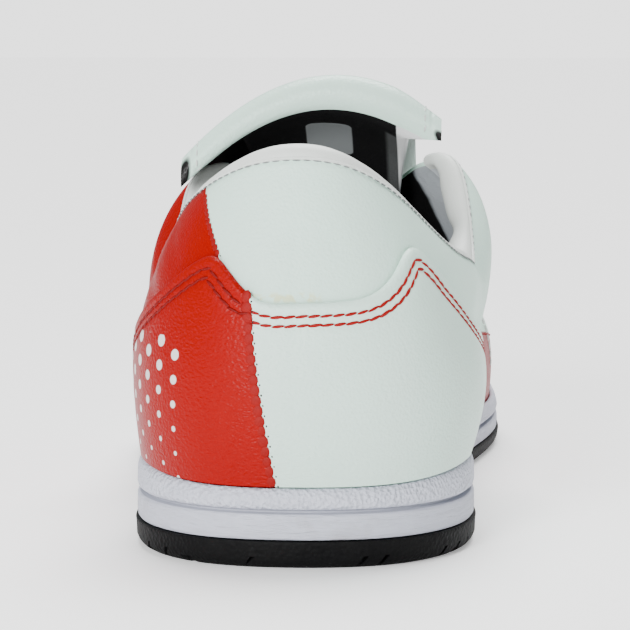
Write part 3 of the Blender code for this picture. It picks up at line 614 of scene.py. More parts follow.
def seam_way(height):
    """Way round, in metres, of the seam between the outer quarter and the back panel."""
    over = height - QUARTER_HEIGHT
    return (over * -QUARTER_LEAN - over * over * QUARTER_BEND - QUARTER_WAY) * HALF_GIRTH


def upper_leather():
    finish = Finish("upper_leather")
    way, height = finish.guide()
    vamp_way = (height - VAMP_HEIGHT) * VAMP_LEAN + -VAMP_SEAM * HALF_GIRTH
    quarter = way.below(seam_way(height)) * way.above(vamp_way)
    ahead = way / HALF_GIRTH - STRIPE_BEND
    stripe_top = STRIPE_TOP - ahead.math("MAXIMUM", ahead, 0.0) * STRIPE_FALL
    stripe_end = STRIPE_END * HALF_GIRTH - (height - VAMP_HEIGHT) * STRIPE_CUT
    stripe = way.above(STRIPE_LOW * HALF_GIRTH) * way.below(stripe_end)
    red = quarter + stripe * height.below(stripe_top)
    seam = (way - seam_way(height)).absolute().below(SEAM_HALF, SEAM_SOFT) * height.below(SEAM_TOP)
    wrinkles = red * 0.3 + 0.15
    tone = finish.noise(30.0, 3.0)
    white = finish.mix(tone * 0.4, WHITE, paint(206, 228, 218))
    coat = finish.mix(tone, RED, paint(142, 2, 1))
    glue = (way - GLUE_WAY).absolute().below(GLUE_LONG, 0.004)
    glue = glue * (height - GLUE_HEIGHT).absolute().below(GLUE_WIDE, 0.001)
    glue = glue * finish.noise(500.0, 2.0).above(0.52, 0.1) * 0.5
    white = finish.mix(glue, white, GLUE)
    colour = finish.mix(red, white, coat)
    normal = finish.bump(1 - seam, 0.0003, 0.6, leather_grain(finish, wrinkles))
    return finish.done(
        Base_Color=colour, Roughness=finish.noise(60.0, 3.0) * 0.12 + 0.28, Normal=normal,
        Specular_IOR_Level=0.06,
    )  # fmt: skip


PALE_FROM, PALE_LEAN = 0.1345, 2.07


def lining_textile(name, pale_from=None):
    """Black woven lining; high on the sides it can turn to the collar's white cloth, painted grey: the
    cloth's white darkened as painted shade.
    """
    finish = Finish(name)
    weave = finish.cells(2200.0) + finish.noise(500.0, 3.0) * 0.5
    tone = finish.mix(finish.noise(350.0, 3.0), LINING, paint(15, 15, 16))
    normal = finish.bump(weave, 0.0002, 0.6)
    if pale_from:
        parts = finish.node("ShaderNodeSeparateXYZ", Vector=finish.place).outputs
        reach = Signal(parts[0]).absolute() * PALE_LEAN + Signal(parts[2])
        reach = reach + finish.noise(90.0) * 0.006
        slack = finish.noise(140.0, 2.0, vector=finish.stretched((1.0, 1.0, 0.5)))
        # the white cloth is painted grey here, its white darkened as painted shade
        tone = finish.mix(reach.above(pale_from, 0.002), tone, paint(172, 178, 183))
        normal = finish.bump(slack, 0.002, 0.5, normal)
    return finish.done(Base_Color=tone, Roughness=0.92, Specular_IOR_Level=0.12, Normal=normal)


# %% [markdown]
# ## The upper
# The upper is the largest leather piece: back panel, quarters, vamp and toe in one hollow shell. It
# could be a sculpted surface, but then the panels wouldn't lie where the sole needs them. The wall
# function gives every point, and listed creases are added as soft troughs and ridges.

# %% Creases, listed
# way and share of the way up at each end of a crease, its half width, and its depth or rise
CREASES = (
    (-0.12, 0.52, -0.20, 0.86, 0.0030, -0.00035),
    (-0.16, 0.50, -0.25, 0.82, 0.0032, 0.00030),
    (-0.20, 0.44, -0.30, 0.76, 0.0034, -0.00035),
    (-0.27, 0.42, -0.36, 0.70, 0.0040, 0.00030),
    (-0.10, 0.66, -0.15, 0.90, 0.0022, -0.00022),
    (0.12, 0.60, 0.20, 0.88, 0.0030, -0.00025),
    (0.18, 0.52, 0.27, 0.84, 0.0036, 0.00022),
    (0.26, 0.46, 0.34, 0.80, 0.0036, -0.00028),
    (0.36, 0.42, 0.42, 0.76, 0.0040, 0.00025),
    (-0.03, 0.70, 0.05, 0.76, 0.0034, -0.00018),
    (0.60, 0.30, 0.63, 0.95, 0.0032, -0.00045),
    (0.64, 0.34, 0.67, 0.96, 0.0030, 0.00030),
    (0.68, 0.38, 0.70, 0.97, 0.0030, -0.00040),
    (-0.60, 0.34, -0.64, 0.95, 0.0032, -0.00045),
    (-0.65, 0.36, -0.68, 0.96, 0.0030, 0.00030),
    (-0.69, 0.40, -0.71, 0.97, 0.0030, -0.00040),
)


# the same for broad fullness, which the counter follows too: drawn in at the heel's inner side
# and fuller at the ball's
FULLNESS = (
    (0.08, 0.54, 0.32, 0.54, 0.0140, -0.00170),
    (0.50, 0.31, 0.80, 0.31, 0.0135, 0.00270),
)


WALL_HEIGHT, CREASE_BOW, CREASE_WAVE, CREASE_FADE = 0.07, 0.0012, 1.3, 4


def crease_depth(ways, shares, creased=1.0):
    """How far the leather stands out (or in) at each way and share, from the two tables."""
    x, y = ways * HALF_GIRTH, shares * WALL_HEIGHT
    total = np.zeros(np.broadcast(x, y).shape)
    rows = [(*row[:5], row[5] * creased) for row in CREASES] + list(FULLNESS)
    for way_a, up_a, way_b, up_b, half, depth in rows:
        a = np.array([way_a * HALF_GIRTH, up_a * WALL_HEIGHT])
        run = np.array([way_b * HALF_GIRTH, up_b * WALL_HEIGHT]) - a
        length = np.hypot(*run)
        along = ((x - a[0]) * run[0] + (y - a[1]) * run[1]) / length
        across = ((x - a[0]) * run[1] - (y - a[1]) * run[0]) / length
        bend = across + CREASE_BOW * np.sin(along / length * math.pi * CREASE_WAVE)
        fade = eased(along / length * CREASE_FADE) * eased((1 - along / length) * CREASE_FADE)
        total += depth * fade * np.exp(-((bend / half) ** 2))
    return total


# %% Build the upper
UPPER_COLUMNS, UPPER_ROWS = ways_round(150, 34, 64), 44


def rolled_edge(outside, inside, upward, steps, fullness):
    """Loops that round an edge over from outside to inside, both left out."""
    centre, half = (outside + inside) / 2, (outside - inside) / 2
    size = np.linalg.norm(half, axis=-1)[..., None]
    angles = [math.pi * step / (steps + 1) for step in range(1, steps + 1)]
    return [centre + half * math.cos(a) + upward * size * fullness * math.sin(a) for a in angles]


def build_upper():
    ways, rows = UPPER_COLUMNS, UPPER_ROWS + 2
    count = len(ways)
    shares = np.linspace(0, 1, UPPER_ROWS + 1)[None] * leather_top(ways)[:, None]
    smooth, inward = wall_skin(ways, shares, np.zeros(shares.shape))
    bulge = crease_depth(ways[:, None], shares)
    outer = smooth - inward * bulge[..., None]
    foot = outer[:, :1].copy()
    foot[..., 2] = layer(foot[..., 1], FLOOR_HEEL, FLOOR_BALL) + SEAT_GAP
    outer = np.concatenate([foot, outer], axis=1)
    inner = np.concatenate([foot + inward[:, :1] * UPPER_WALL, smooth + inward * UPPER_WALL], axis=1)
    inner[:, 0, 2] = foot[:, 0, 2]
    ids = np.arange(count * rows).reshape(count, rows)
    for i, way in enumerate(ways):
        if way >= THROAT_BASE - 1e-9:
            ids[i, -1] = ids[count - i, -1]
    follow = np.roll(ids, -1, axis=0)
    quads = np.stack([ids[:, :-1], follow[:, :-1], follow[:, 1:], ids[:, 1:]], axis=-1).reshape(-1, 4)
    total = count * rows
    rim = [ids[i, -1] for i, way in enumerate(ways) if abs(way) < THROAT_BASE + 1e-9][:-1]
    flat, back = outer.reshape(-1, 3), inner.reshape(-1, 3)
    upward = flat[rim] - flat[[v - 1 for v in rim]]
    upward /= np.linalg.norm(upward, axis=1)[:, None]
    guide = wall_guide(ways, outer).reshape(-1, 2)
    points, guides, faces = [flat, back], [guide, guide], quads.tolist()
    slots = [0] * len(quads) + [1] * len(quads) + [1] * count
    faces += (quads[:, ::-1] + total).tolist()
    here, ahead = ids[:, 0], follow[:, 0]
    faces += np.stack([here, total + here, total + ahead, ahead], axis=-1).tolist()
    rolls, next_id = [rim], 2 * total
    for loop in rolled_edge(flat[rim], back[rim], upward, 3, EDGE_FULLNESS):
        rolls.append(list(range(next_id, next_id + len(rim))))
        next_id += len(rim)
        points.append(loop)
        guides.append(guide[rim])
    rolls.append([total + v for v in rim])
    for low, high in zip(rolls, rolls[1:]):
        faces += np.stack([low, np.roll(low, -1), np.roll(high, -1), high], axis=-1).tolist()
    slots += [0] * (len(faces) - len(slots))
    points, guides = np.concatenate(points), np.concatenate(guides)
    used, compact = np.unique(np.concatenate([np.asarray(f) for f in faces]), return_inverse=True)
    cuts = np.cumsum([len(f) for f in faces])[:-1]
    faces = [f.tolist() for f in np.split(compact, cuts)]
    materials = (upper_leather(), lining_textile("lining_textile", PALE_FROM))
    made = add_piece("upper_leather", points[used], faces, materials, guides[used], slots)
    return seat(made, "upper", "upper")


build_upper()


# %% [markdown]
# ## The padded collar
# A tube of foam, covered on the inside with a soft white lining, is sewn to the top line and bound
# with a strip that is folded over the leather's edge. It is one ring-shaped piece. A cloth
# simulation could swell it, but the shape is held by the last, so its points are moved instead: the
# lining stands out in the middle and is drawn in at the seams, with soft folds across it.

# %% Collar
LINING_SKIN, COLLAR_PAD, PAD_FADE, PAD_START, FREE_GAP = 0.0012, 0.0042, 0.07, 0.30, 2.2
LINING_DEPTH, LINING_DEEPER, DEEPER_FROM, DEEPER_RUN = 0.5, 0.4, 0.14, 0.10
COLLAR_COLUMNS, ROLL_STEPS, ROLL_FULLNESS = 321, 9, 0.85
# way and depth of a soft fold in the lining, its half widths along and down, and its rise
LINING_FOLDS = (
    (0.235, 0.25, 0.016, 0.14, 0.0016), (0.285, 0.32, 0.011, 0.12, -0.0026),
    (0.322, 0.08, 0.011, 0.14, 0.0014), (0.353, 0.05, 0.009, 0.16, -0.0027),
    (0.380, 0.08, 0.008, 0.14, 0.0013), (-0.25, 0.50, 0.018, 0.18, 0.0010),
    (-0.31, 0.60, 0.014, 0.20, -0.0011), (-0.36, 0.50, 0.014, 0.20, 0.0010),
    (0.16, 0.55, 0.020, 0.15, -0.0006), (-0.14, 0.55, 0.020, 0.15, 0.0006),
)  # fmt: skip


def binding_strip():
    finish = Finish("binding_strip")
    tone = finish.mix(finish.noise(120.0, 3.0), OFF_WHITE, paint(208, 212, 207))
    grain = finish.cells(1900.0) * 0.6 + finish.noise(3000.0, 2.0) * 0.4
    return finish.done(Base_Color=tone, Roughness=0.52, Normal=finish.bump(grain, 0.00008, 0.6))


def collar_cloth():
    """Soft white lining over foam, a little greyer here and there at random."""
    finish = Finish("collar_cloth")
    tone = finish.mix(finish.noise(70.0, 3.0), paint(214, 220, 224), paint(196, 203, 209))
    knit = finish.cells(2400.0) * 0.5 + finish.noise(1500.0, 3.0) * 0.5
    slack = finish.noise(160.0, 2.0, vector=finish.stretched((1.0, 1.0, 0.5)))
    normal = finish.bump(slack, 0.0012, 0.35, finish.bump(knit, 0.00012, 0.5))
    return finish.done(Base_Color=tone, Roughness=0.78, Normal=normal, Sheen_Weight=0.1)


def pad_share(ways):
    return eased((COLLAR_END - np.abs(ways)) / PAD_FADE)


def collar_start(ways):
    """The gap behind the lining, and the share of the way up at which the binding starts."""
    gap = SEAT_GAP * (FREE_GAP + (1 - FREE_GAP) * pad_share(ways))
    return gap, leather_top(ways) + (gap + UPPER_WALL / 2 * EDGE_FULLNESS) / wall_length(ways)


def build_collar():
    ways = np.linspace(-COLLAR_END, COLLAR_END, COLLAR_COLUMNS)
    pad, top = pad_share(ways), leather_top(ways)
    gap, start = collar_start(ways)
    back = UPPER_WALL + gap
    outer = start[:, None] + (1 - start)[:, None] * np.linspace(0, 1, 4)
    skin, _ = wall_skin(ways, outer, np.zeros(outer.shape))
    depth = np.linspace(0, 1, 34)
    low = LINING_DEPTH * (1 - LINING_DEEPER * eased((np.abs(ways) - DEEPER_FROM) / DEEPER_RUN))
    shares = 1 + (top * low - 1)[:, None] * depth
    swell = COLLAR_PAD * pad[:, None] * np.sin(math.pi * (PAD_START + (1 - PAD_START) * depth))
    for way, down, along, across, rise in LINING_FOLDS:
        bump = np.exp(-(((ways[:, None] - way) / along) ** 2) - ((depth - down) / across) ** 2)
        swell = swell + rise * bump * pad[:, None]
    face, _ = wall_skin(ways, shares, (back + LINING_SKIN)[:, None] + swell)
    rise = low[:, None] + (1 - low[:, None]) * np.linspace(0, 1, 12, endpoint=False)
    hidden = np.concatenate([top[:, None] * rise, start[:, None]], axis=1)
    behind, _ = wall_skin(ways, hidden, np.broadcast_to(back[:, None], hidden.shape))
    upward = skin[:, -1] - skin[:, 0]
    upward /= np.linalg.norm(upward, axis=1)[:, None]
    roll = rolled_edge(skin[:, -1], face[:, 0], upward, ROLL_STEPS, ROLL_FULLNESS)
    roll = np.stack(roll, axis=1)
    rings = np.concatenate([skin, roll, face, behind], axis=1)
    count = rings.shape[1]
    faces = grid_faces(len(ways), count)
    bound = skin.shape[1] + roll.shape[1] + 1
    slots = [0 if k % count < bound or k % count == count - 1 else 1 for k in range(len(faces))]
    faces += end_caps(len(ways), count)
    materials, guide = (binding_strip(), collar_cloth()), wall_guide(ways, rings)
    made = add_piece("collar_lining_padded", rings, faces, materials, guide, slots + [0, 0])
    return seat(made, "collar_lining", "collar_lining")


build_collar()

# %% The binding's outer edge, lying over the leather
BAND_LOW, BAND_PROUD, BAND_STITCH, BAND_LIFT = 0.0009, 0.00030, 0.0009, 0.00004
THREAD_OUT = 0.0002
# place up the band, and how far it stands out there, as shares
BAND_PROFILE = (
    (0.00, 0.15), (0.03, 0.75), (0.10, 1.00), (0.30, 0.55),
    (0.45, 1.00), (0.70, 0.90), (0.92, 0.50), (1.00, 0.10),
)  # fmt: skip


def build_band():
    """The band; gives the line on which its stitches lie, with the ways out of it."""
    ways = np.linspace(-COLLAR_END, COLLAR_END, COLLAR_COLUMNS)
    lengths, start = wall_length(ways), collar_start(ways)[1]
    up, proud = np.array(BAND_PROFILE).T
    shares = start[:, None] - (1 - up) * BAND_LOW / lengths[:, None]
    out = BAND_LIFT + BAND_PROUD * np.broadcast_to(proud, shares.shape)
    far, _ = wall_skin(ways, shares, -out)
    near, _ = wall_skin(ways, shares, np.full(shares.shape, -BAND_LIFT / 2))
    rings = np.concatenate([far, near[:, ::-1]], axis=1)
    count = rings.shape[1]
    faces = grid_faces(len(ways), count) + end_ladders(len(ways), count)
    materials = (bpy.data.materials["binding_strip"],)
    made = add_piece("collar_binding", rings, faces, materials, wall_guide(ways, rings))
    seat(made, "collar_lining")
    sewn = (start - BAND_STITCH / lengths)[:, None]
    points, inward = wall_skin(ways, sewn, np.full(sewn.shape, -THREAD_OUT))
    return points[:, 0], -inward[:, 0]


BAND_LINE = build_band()


# %% [markdown]
# ## The tongue and its flap
# The tongue is a padded strip that runs up under the throat, folds over at its top and hangs
# forward as a wide flap. Sweeping one cross-section along a line, with its widths and arch from a
# short table, keeps the thickness even round the fold. The foot's side is black lining, with a
# blank pale label; the fold and the flap are white leather with a stitched hem at each end.

# %% Tongue
TONGUE_THICKNESS, TONGUE_GAP, FLAP_GAP = 0.0028, 0.0012, 0.0009
THROAT_GAP = FLAP_GAP + UPPER_WALL + TONGUE_GAP
TONGUE_ROOT, FOLD_ALONG, FOLD_UP, FLAP_TIP = 0.640, 0.392, 1.085, 0.635
FLAP_ROUNDING, FLARE_TURN, FOLD_TURN = 0.22, 45.0, 180.0
NECK_ARCH = 16.0
# outer and inner half width, arch, crown, sink
STRIP_ROOT = np.array([0.170, 0.170, 24.0, -0.02, 0.034])
STRIP_NECK = np.array([0.270, 0.280, NECK_ARCH, 0.0, 0.0])
STRIP_FOLD = np.array([0.478, 0.398, 14.5, 0.04, 0.0])
STRIP_FLAP = np.array([0.440, 0.305, 13.0, 0.03, -0.002])
STRIP_TIP = np.array([0.400, 0.298, 11.0, 0.02, -0.007])
FLAP_SHOULDER = 0.2
TONGUE_STEPS, FOLD_STEPS, FLAP_STEPS, STRIP_ACROSS, EDGE_STEPS = 60, 36, 76, 72, 9
END_HOLLOW, END_MOUTH = 0.0030, math.radians(57)
PINCH, PINCH_FROM, PINCH_WIDE = 0.60, 0.016, 0.012
LABEL_MIDDLE, LABEL_HALF, LABEL_TOP, LABEL_LONG, LABEL_CORNER = 0.0008, 0.0056, 0.0062, 0.014, 0.0016
MESH_FROM, HEM_FROM = 0.0150, 0.0176
# across and down at the middle of each dark spot painted as the shade in the open mouth at the fold's ends,
# and its half sizes
FOLD_MOUTH_SHADES = ((-0.0336, -0.0045, 0.0015, 0.0027), (0.0284, -0.0034, 0.0016, 0.0014))
HEM_LINES, HEM_LINE_HALF = (-0.0322, 0.0262), 0.0004
HEM_COLUMN, FLAP_HEMS = 4, []


def throat_line():
    """The line midway between the tongue and its flap, from root to fold, as (along, up) points."""
    middle = (FLAP_GAP - UPPER_WALL - TONGUE_GAP) / 2
    line = [(crest[1], crest[2] + middle) for crest in CREST_AT([0.63, 0.595, THROAT_BASE])]
    line[0] = (TONGUE_ROOT * SOLE_LENGTH, line[0][1])
    for around in (0.52, 0.485, 0.45, COLLAR_END):
        left, right = RIM_AT([-around])[0], RIM_AT([around])[0]
        half = (right[0] - left[0]) / 2
        line.append(((left[1] + right[1]) / 2, (left[2] + right[2]) / 2 + NECK_ARCH * half**2 + middle))
    line.append((FOLD_ALONG * SOLE_LENGTH, FOLD_UP * INSTEP_HEIGHT))
    return np.array(line)


def tongue_sections():
    """Centre, direction and widths of each section of the strip, and its length so far."""
    knots = throat_line()
    steps = np.concatenate([[0], np.cumsum(np.linalg.norm(np.diff(knots, axis=0), axis=1))])
    line_at = smooth_curve(steps / steps[-1], knots)
    apart = THROAT_GAP / 2 + TONGUE_THICKNESS / 2
    sections = []

    def across(share):
        run = line_at(min(share + 0.01, 1.0))[0] - line_at(max(share - 0.01, 0.0))[0]
        run /= np.linalg.norm(run)
        return np.array([-run[1], run[0]]) * (1 if run[0] > 0 else -1)

    for share in np.linspace(0, 1, TONGUE_STEPS, endpoint=False):
        mix, out = STRIP_ROOT + (STRIP_NECK - STRIP_ROOT) * share, -across(share)
        sections.append((line_at(share)[0] + out * (apart + mix[4] * HEEL_WIDTH), out, mix, 0))
    end, low = line_at(1.0)[0], -across(1.0)
    side = np.array([low[1], -low[0]])
    side = side if side[0] < 0 else -side
    for turn in np.linspace(0, FOLD_TURN, FOLD_STEPS, endpoint=False):
        out = low * math.cos(math.radians(turn)) + side * math.sin(math.radians(turn))
        mix = STRIP_NECK + (STRIP_FOLD - STRIP_NECK) * min(turn / FLARE_TURN, 1)
        sections.append((end + out * apart, out, mix, 1))
    tip = (FLAP_TIP * SOLE_LENGTH - knots[-1, 0]) / (knots[0, 0] - knots[-1, 0])
    for part in np.linspace(0, 1, FLAP_STEPS):
        out = across(1 - part * tip)
        if part < FLAP_SHOULDER:
            mix = STRIP_FOLD + (STRIP_FLAP - STRIP_FOLD) * part / FLAP_SHOULDER
        else:
            mix = STRIP_FLAP + (STRIP_TIP - STRIP_FLAP) * (part - FLAP_SHOULDER) / (1 - FLAP_SHOULDER)
        rounding = math.sqrt(1 - 0.5 * max(0, (part - 1 + FLAP_ROUNDING) / FLAP_ROUNDING) ** 2)
        mix = np.array([mix[0] * rounding, mix[1] * rounding, *mix[2:]])
        sections.append((line_at(1 - part * tip)[0] + out * (apart - mix[4] * HEEL_WIDTH), out, mix, 2))
    return sections


def tongue_lining():
    """Black lining with a white edge, and a blank pale label near the fold, painted mid grey: partly its
    own colour, partly painted shade.
    """
    finish = Finish("tongue_lining")
    across, down = finish.guide()
    weave = finish.cells(2300.0) + finish.noise(600.0, 3.0) * 0.6
    cloth = finish.mix(finish.noise(300.0, 3.0), LINING, paint(14, 14, 15))
    side = (across - LABEL_MIDDLE).absolute() - LABEL_HALF
    drop = (down - LABEL_TOP - LABEL_LONG / 2).absolute() - LABEL_LONG / 2
    beside = side.math("MAXIMUM", side + LABEL_CORNER, 0.0)
    under = drop.math("MAXIMUM", drop + LABEL_CORNER, 0.0)
    corner = beside**2.0 + under**2.0
    label = corner.math("SQRT", corner).below(LABEL_CORNER, 0.0003)
    mesh_edge = across.above(MESH_FROM, 0.0010) * down.above(0.002, 0.001)
    hem = across.above(HEM_FROM, 0.0003)
    colour = finish.mix(mesh_edge, cloth, paint(74, 76, 76))
    colour = finish.mix(hem, colour, paint(222, 224, 224))
    # the label's pale colour is darkened to mid grey as painted shade inside the shoe
    colour = finish.mix(label, colour, paint(122, 126, 127))
    height = weave * (1 - label) * 0.5 + label
    normal = finish.bump(height, 0.0003, 0.5)
    return finish.done(
        Base_Color=colour, Roughness=0.88 - label * 0.35, Specular_IOR_Level=0.15, Normal=normal
    )


def flap_leather():
    finish = Finish("flap_leather")
    across, down = finish.guide()
    tone = finish.mix(finish.noise(40.0, 3.0) * 0.5, WHITE, paint(202, 228, 215))
    # painted shade: a dark spot where each rolled end of the fold opens
    for middle, low, wide, tall in FOLD_MOUTH_SHADES:
        mouth_shade = ((across - middle) / wide) ** 2.0 + ((down - low) / tall) ** 2.0
        tone = finish.mix(mouth_shade.below(1.0, 0.9), tone, paint(24, 24, 24))
    left, right = ((across - line).absolute().below(HEM_LINE_HALF, 0.0006) for line in HEM_LINES)
    grain = leather_grain(finish, finish.noise(40.0) * 0.3)
    normal = finish.bump(1 - (left + right), 0.0003, 0.5, grain)
    return finish.done(Base_Color=tone, Roughness=0.32, Specular_IOR_Level=0.25, Normal=normal)


def build_tongue():
    rings, guides, down = [], [], -TONGUE_STEPS
    sections = tongue_sections()
    lengths = np.cumsum([0, *[np.linalg.norm(b[0] - a[0]) for a, b in zip(sections, sections[1:])]])
    lengths = lengths[TONGUE_STEPS] - lengths
    half = TONGUE_THICKNESS / 2
    left = lengths[-1] - lengths
    for k, (centre, out, (outer, inner, arch, crown, _), _) in enumerate(sections):
        low, high = -outer * HEEL_WIDTH + half, inner * HEEL_WIDTH - half
        end = max(half + left[k], 0) if left[k] > -half else half
        thick = half * math.sqrt(max(1 - (1 - min(end / half, 1)) ** 2, 0.05))
        x = np.linspace(low, high, STRIP_ACROSS)
        turn = np.linspace(math.pi / 2, -math.pi / 2, EDGE_STEPS + 2)[1:-1]
        hollow = END_HOLLOW * eased((k - TONGUE_STEPS - 3) / 6) * eased((len(sections) - 8 - k) / 8)
        reach = [half * math.cos(a) - hollow * max(1 - (a / END_MOUTH) ** 2, 0) ** 0.5 for a in turn]
        pairs = [(v, thick) for v in x] + [(high + r, thick * math.sin(a)) for r, a in zip(reach, turn)]
        pairs += [(v, -thick) for v in x[::-1]]
        pairs += [(low - r, -thick * math.sin(a)) for r, a in zip(reach, turn)]
        pairs = np.array(pairs)
        drop = arch * (pairs[:, 0] - crown * HEEL_WIDTH) ** 2
        near_fold = eased((k - TONGUE_STEPS + 6) / 6) * eased((TONGUE_STEPS + FOLD_STEPS + 12 - k) / 12)
        pinch = PINCH * near_fold * eased((pairs[:, :1] - PINCH_FROM) / PINCH_WIDE)
        plan = centre + out * (pairs[:, 1:] - pinch * THROAT_GAP / 2)
        rings.append(np.column_stack([pairs[:, 0], plan[:, 0], plan[:, 1] - drop]))
        guides.append(np.column_stack([pairs[:, 0], np.full(len(pairs), lengths[k])]))
    count = len(rings[0])
    faces = grid_faces(len(rings), count)
    foot_side = set(range(STRIP_ACROSS + EDGE_STEPS // 2 + 1)) | set(range(count - EDGE_STEPS // 2, count))
    lined_to = TONGUE_STEPS + 5
    ends = (STRIP_ACROSS + EDGE_STEPS / 2 - 0.5, count - EDGE_STEPS / 2 - 0.5)
    slots = []
    for n in range(len(faces)):
        ring, place = divmod(n, count)
        foot = place in foot_side
        slot = (0 if foot else 1) if ring < lined_to else (1 if foot else 0)
        deep = min(abs(place - middle) for middle in ends) < EDGE_STEPS * 0.34
        slots.append(2 if deep and lined_to + 2 < ring < len(rings) - 10 else slot)
    faces += end_caps(len(rings), count)
    materials = (tongue_lining(), flap_leather(), lining_textile("black_lining"))
    made = add_piece("tongue_padded", rings, faces, materials, np.concatenate(guides), slots + [0, 1])
    for side, column in ((-1, HEM_COLUMN), (1, STRIP_ACROSS - 1 - HEM_COLUMN)):
        line = np.array([ring[column] for ring in rings[TONGUE_STEPS + 8 : -6]])
        beside = np.array([ring[column - 1] for ring in rings[TONGUE_STEPS + 8 : -6]])
        outs = np.cross(np.gradient(line, axis=0), line - beside)
        FLAP_HEMS.append((line, -outs / np.linalg.norm(outs, axis=1)[:, None]))
    return seat(made, "tongue", "tongue")


build_tongue()


# %% [markdown]
# ## The heel counter
# A second layer of leather wraps the heel: a red part on the outer side and a white part round the
# back, cut from one outline and joined by a leaning seam. Each is a thin skin laid over the wall,
# with its edge rolled down and a furrow pressed in along each row of stitches. The skin follows
# the wall function at a constant distance, which a shrinkwrap would only approximate.

# %% Counter
COUNTER_GAP, COUNTER_SKIN, COUNTER_SEAM_GAP, COUNTER_LOW_EDGE = 0.0005, 0.0011, 0.0006, 0.003
SEAM_LOW, SEAM_HIGH, COUNTER_END_OUTER, COUNTER_END_INNER = -0.015, -0.037, -0.395, 0.465
STITCH_ROWS = (0.0029, 0.0048)
EDGE_ROLL, FURROW_HALF, FURROW_DEPTH = 0.0011, 0.0006, 0.00032
DOT_PITCH, DOT_LARGE, DOT_SMALL, DOT_TOP, DOT_COLUMNS = 0.0052, 0.0019, 0.0005, 0.0480, (5, 16)
COUNTER_ROWS, TOP_REACH = 56, 24
COUNTER_LINES = {}


def counter_ways(start, end, share, height):
    """Ways round of the counter's columns, the seam leaning with the height."""
    seam = SEAM_LOW + (SEAM_HIGH - SEAM_LOW) * height
    gap = COUNTER_SEAM_GAP / 2 / HALF_GIRTH
    first = seam + gap if start is None else start
    last = seam - gap if end is None else end
    return first + (last - first) * share


def counter_leather(name, base, dark, dots):
    """Leather for one half of the counter; dots adds a plain printed field that fades out."""
    finish = Finish(name)
    way, height = finish.guide()
    tone = finish.mix(finish.noise(28.0, 3.0), base, dark)
    near_seam = (way + 0.012).absolute().below(0.016, 0.02)
    wrinkles = near_seam * 0.8 + height.below(0.032, 0.012) * 0.35 + finish.noise(45.0) * 0.35
    normal = leather_grain(finish, wrinkles)
    if dots:
        column = (way / DOT_PITCH).math("FLOOR", way / DOT_PITCH)
        shifted = height / DOT_PITCH + column * 0.5
        x = (way / DOT_PITCH).math("FRACT", way / DOT_PITCH) - 0.5
        y = shifted.math("FRACT", shifted) - 0.5
        distance = (x * x + y * y) ** 0.5 * DOT_PITCH
        fade = (height - 0.024) * 26.0 + (way * -1.0 - 0.034) * 6.0
        radius = fade.math("ADD", fade, 0.0, clamp=True) * (DOT_LARGE - DOT_SMALL) + DOT_SMALL
        first, last = (count * DOT_PITCH for count in DOT_COLUMNS)
        field = way.below(-first) * way.above(-last) * height.below(DOT_TOP)
        printed = field * (radius - distance).above(0.0, 0.00012)
        tone = finish.mix(printed, tone, paint(224, 220, 216))
        normal = finish.bump(printed, 0.00006, 0.5, normal)
    return finish.done(
        Base_Color=tone, Roughness=finish.noise(70.0, 3.0) * 0.12 + 0.28, Normal=normal,
        Specular_IOR_Level=0.10 if dots else 0.22,
    )  # fmt: skip


def build_counter(name, start, end, columns, material, node):
    share, up = np.linspace(0, 1, columns), np.linspace(0, 1, COUNTER_ROWS)
    ways = counter_ways(start, end, share[:, None], up[None])
    flat = ways.ravel()
    base = wall(flat, [0.0])[:, 0, 2] + SEAT_GAP
    top = np.maximum(COUNTER_AT(flat)[:, 0], base + COUNTER_LOW_EDGE)
    fine = np.linspace(0, 1, FINE_SHARES)
    heights = wall(flat, fine)[:, :, 2]
    low_share = np.array([np.interp(b, h, fine) for b, h in zip(base, heights)])
    high_share = np.array([np.interp(t, h, fine) for t, h in zip(top, heights)])
    shares = low_share + (high_share - low_share) * np.tile(up, columns)
    points, inward = wall_skin(flat, shares[:, None], np.zeros((len(flat), 1)))
    points, inward = points.reshape(columns, -1, 3), inward.reshape(columns, -1, 3)
    edge = edge_distance(points, end is None)
    roll = np.sqrt(np.clip(1 - (1 - np.clip(edge / EDGE_ROLL, 0, 1)) ** 2, 0.02, 1))
    below = top_distance(points)
    furrow = sum(np.exp(-(((below - row) / FURROW_HALF) ** 2)) for row in STITCH_ROWS)
    full = crease_depth(ways, shares.reshape(columns, -1), 0.0)
    crease = (crease_depth(ways, shares.reshape(columns, -1), 0.5) - full) * eased(edge / 0.004)
    skin = COUNTER_SKIN * (0.25 + 0.75 * roll) - FURROW_DEPTH * furrow + crease
    near = points - inward * (COUNTER_GAP + full)[..., None]
    far = near - inward * skin[..., None]
    rings = np.concatenate([far, near[:, ::-1]], axis=1)
    count = rings.shape[1]
    guide = np.stack([ways * HALF_GIRTH, points[..., 2]], axis=-1)
    guide = np.concatenate([guide, guide[:, ::-1]], axis=1)
    faces = grid_faces(columns, count) + end_ladders(columns, count)
    made = add_piece(name, rings, faces, (material,), guide)
    COUNTER_LINES[name] = [contour(ways, shares.reshape(columns, -1), below, row) for row in STITCH_ROWS]
    return seat(made, node, node)


def contour(ways, shares, below, wanted):
    """Ways and shares at which a grid lies a wanted distance under its top edge."""
    line = [
        (np.interp(-wanted, -b, w), np.interp(-wanted, -b, s))
        for w, s, b in zip(ways, shares, np.maximum.accumulate(below[:, ::-1], axis=1)[:, ::-1])
        if b.max() > wanted
    ]
    return np.array(line).T


def edge_distance(points, flush_end):
    """Distance of each point of a grid to its top and side edges; a flush end isn't rolled down."""
    across = np.linalg.norm(np.diff(points, axis=0), axis=2).cumsum(axis=0)
    across = np.concatenate([np.zeros_like(across[:1]), across])
    sides = across if flush_end else np.minimum(across, across[-1:] - across)
    return np.minimum(sides, top_distance(points))


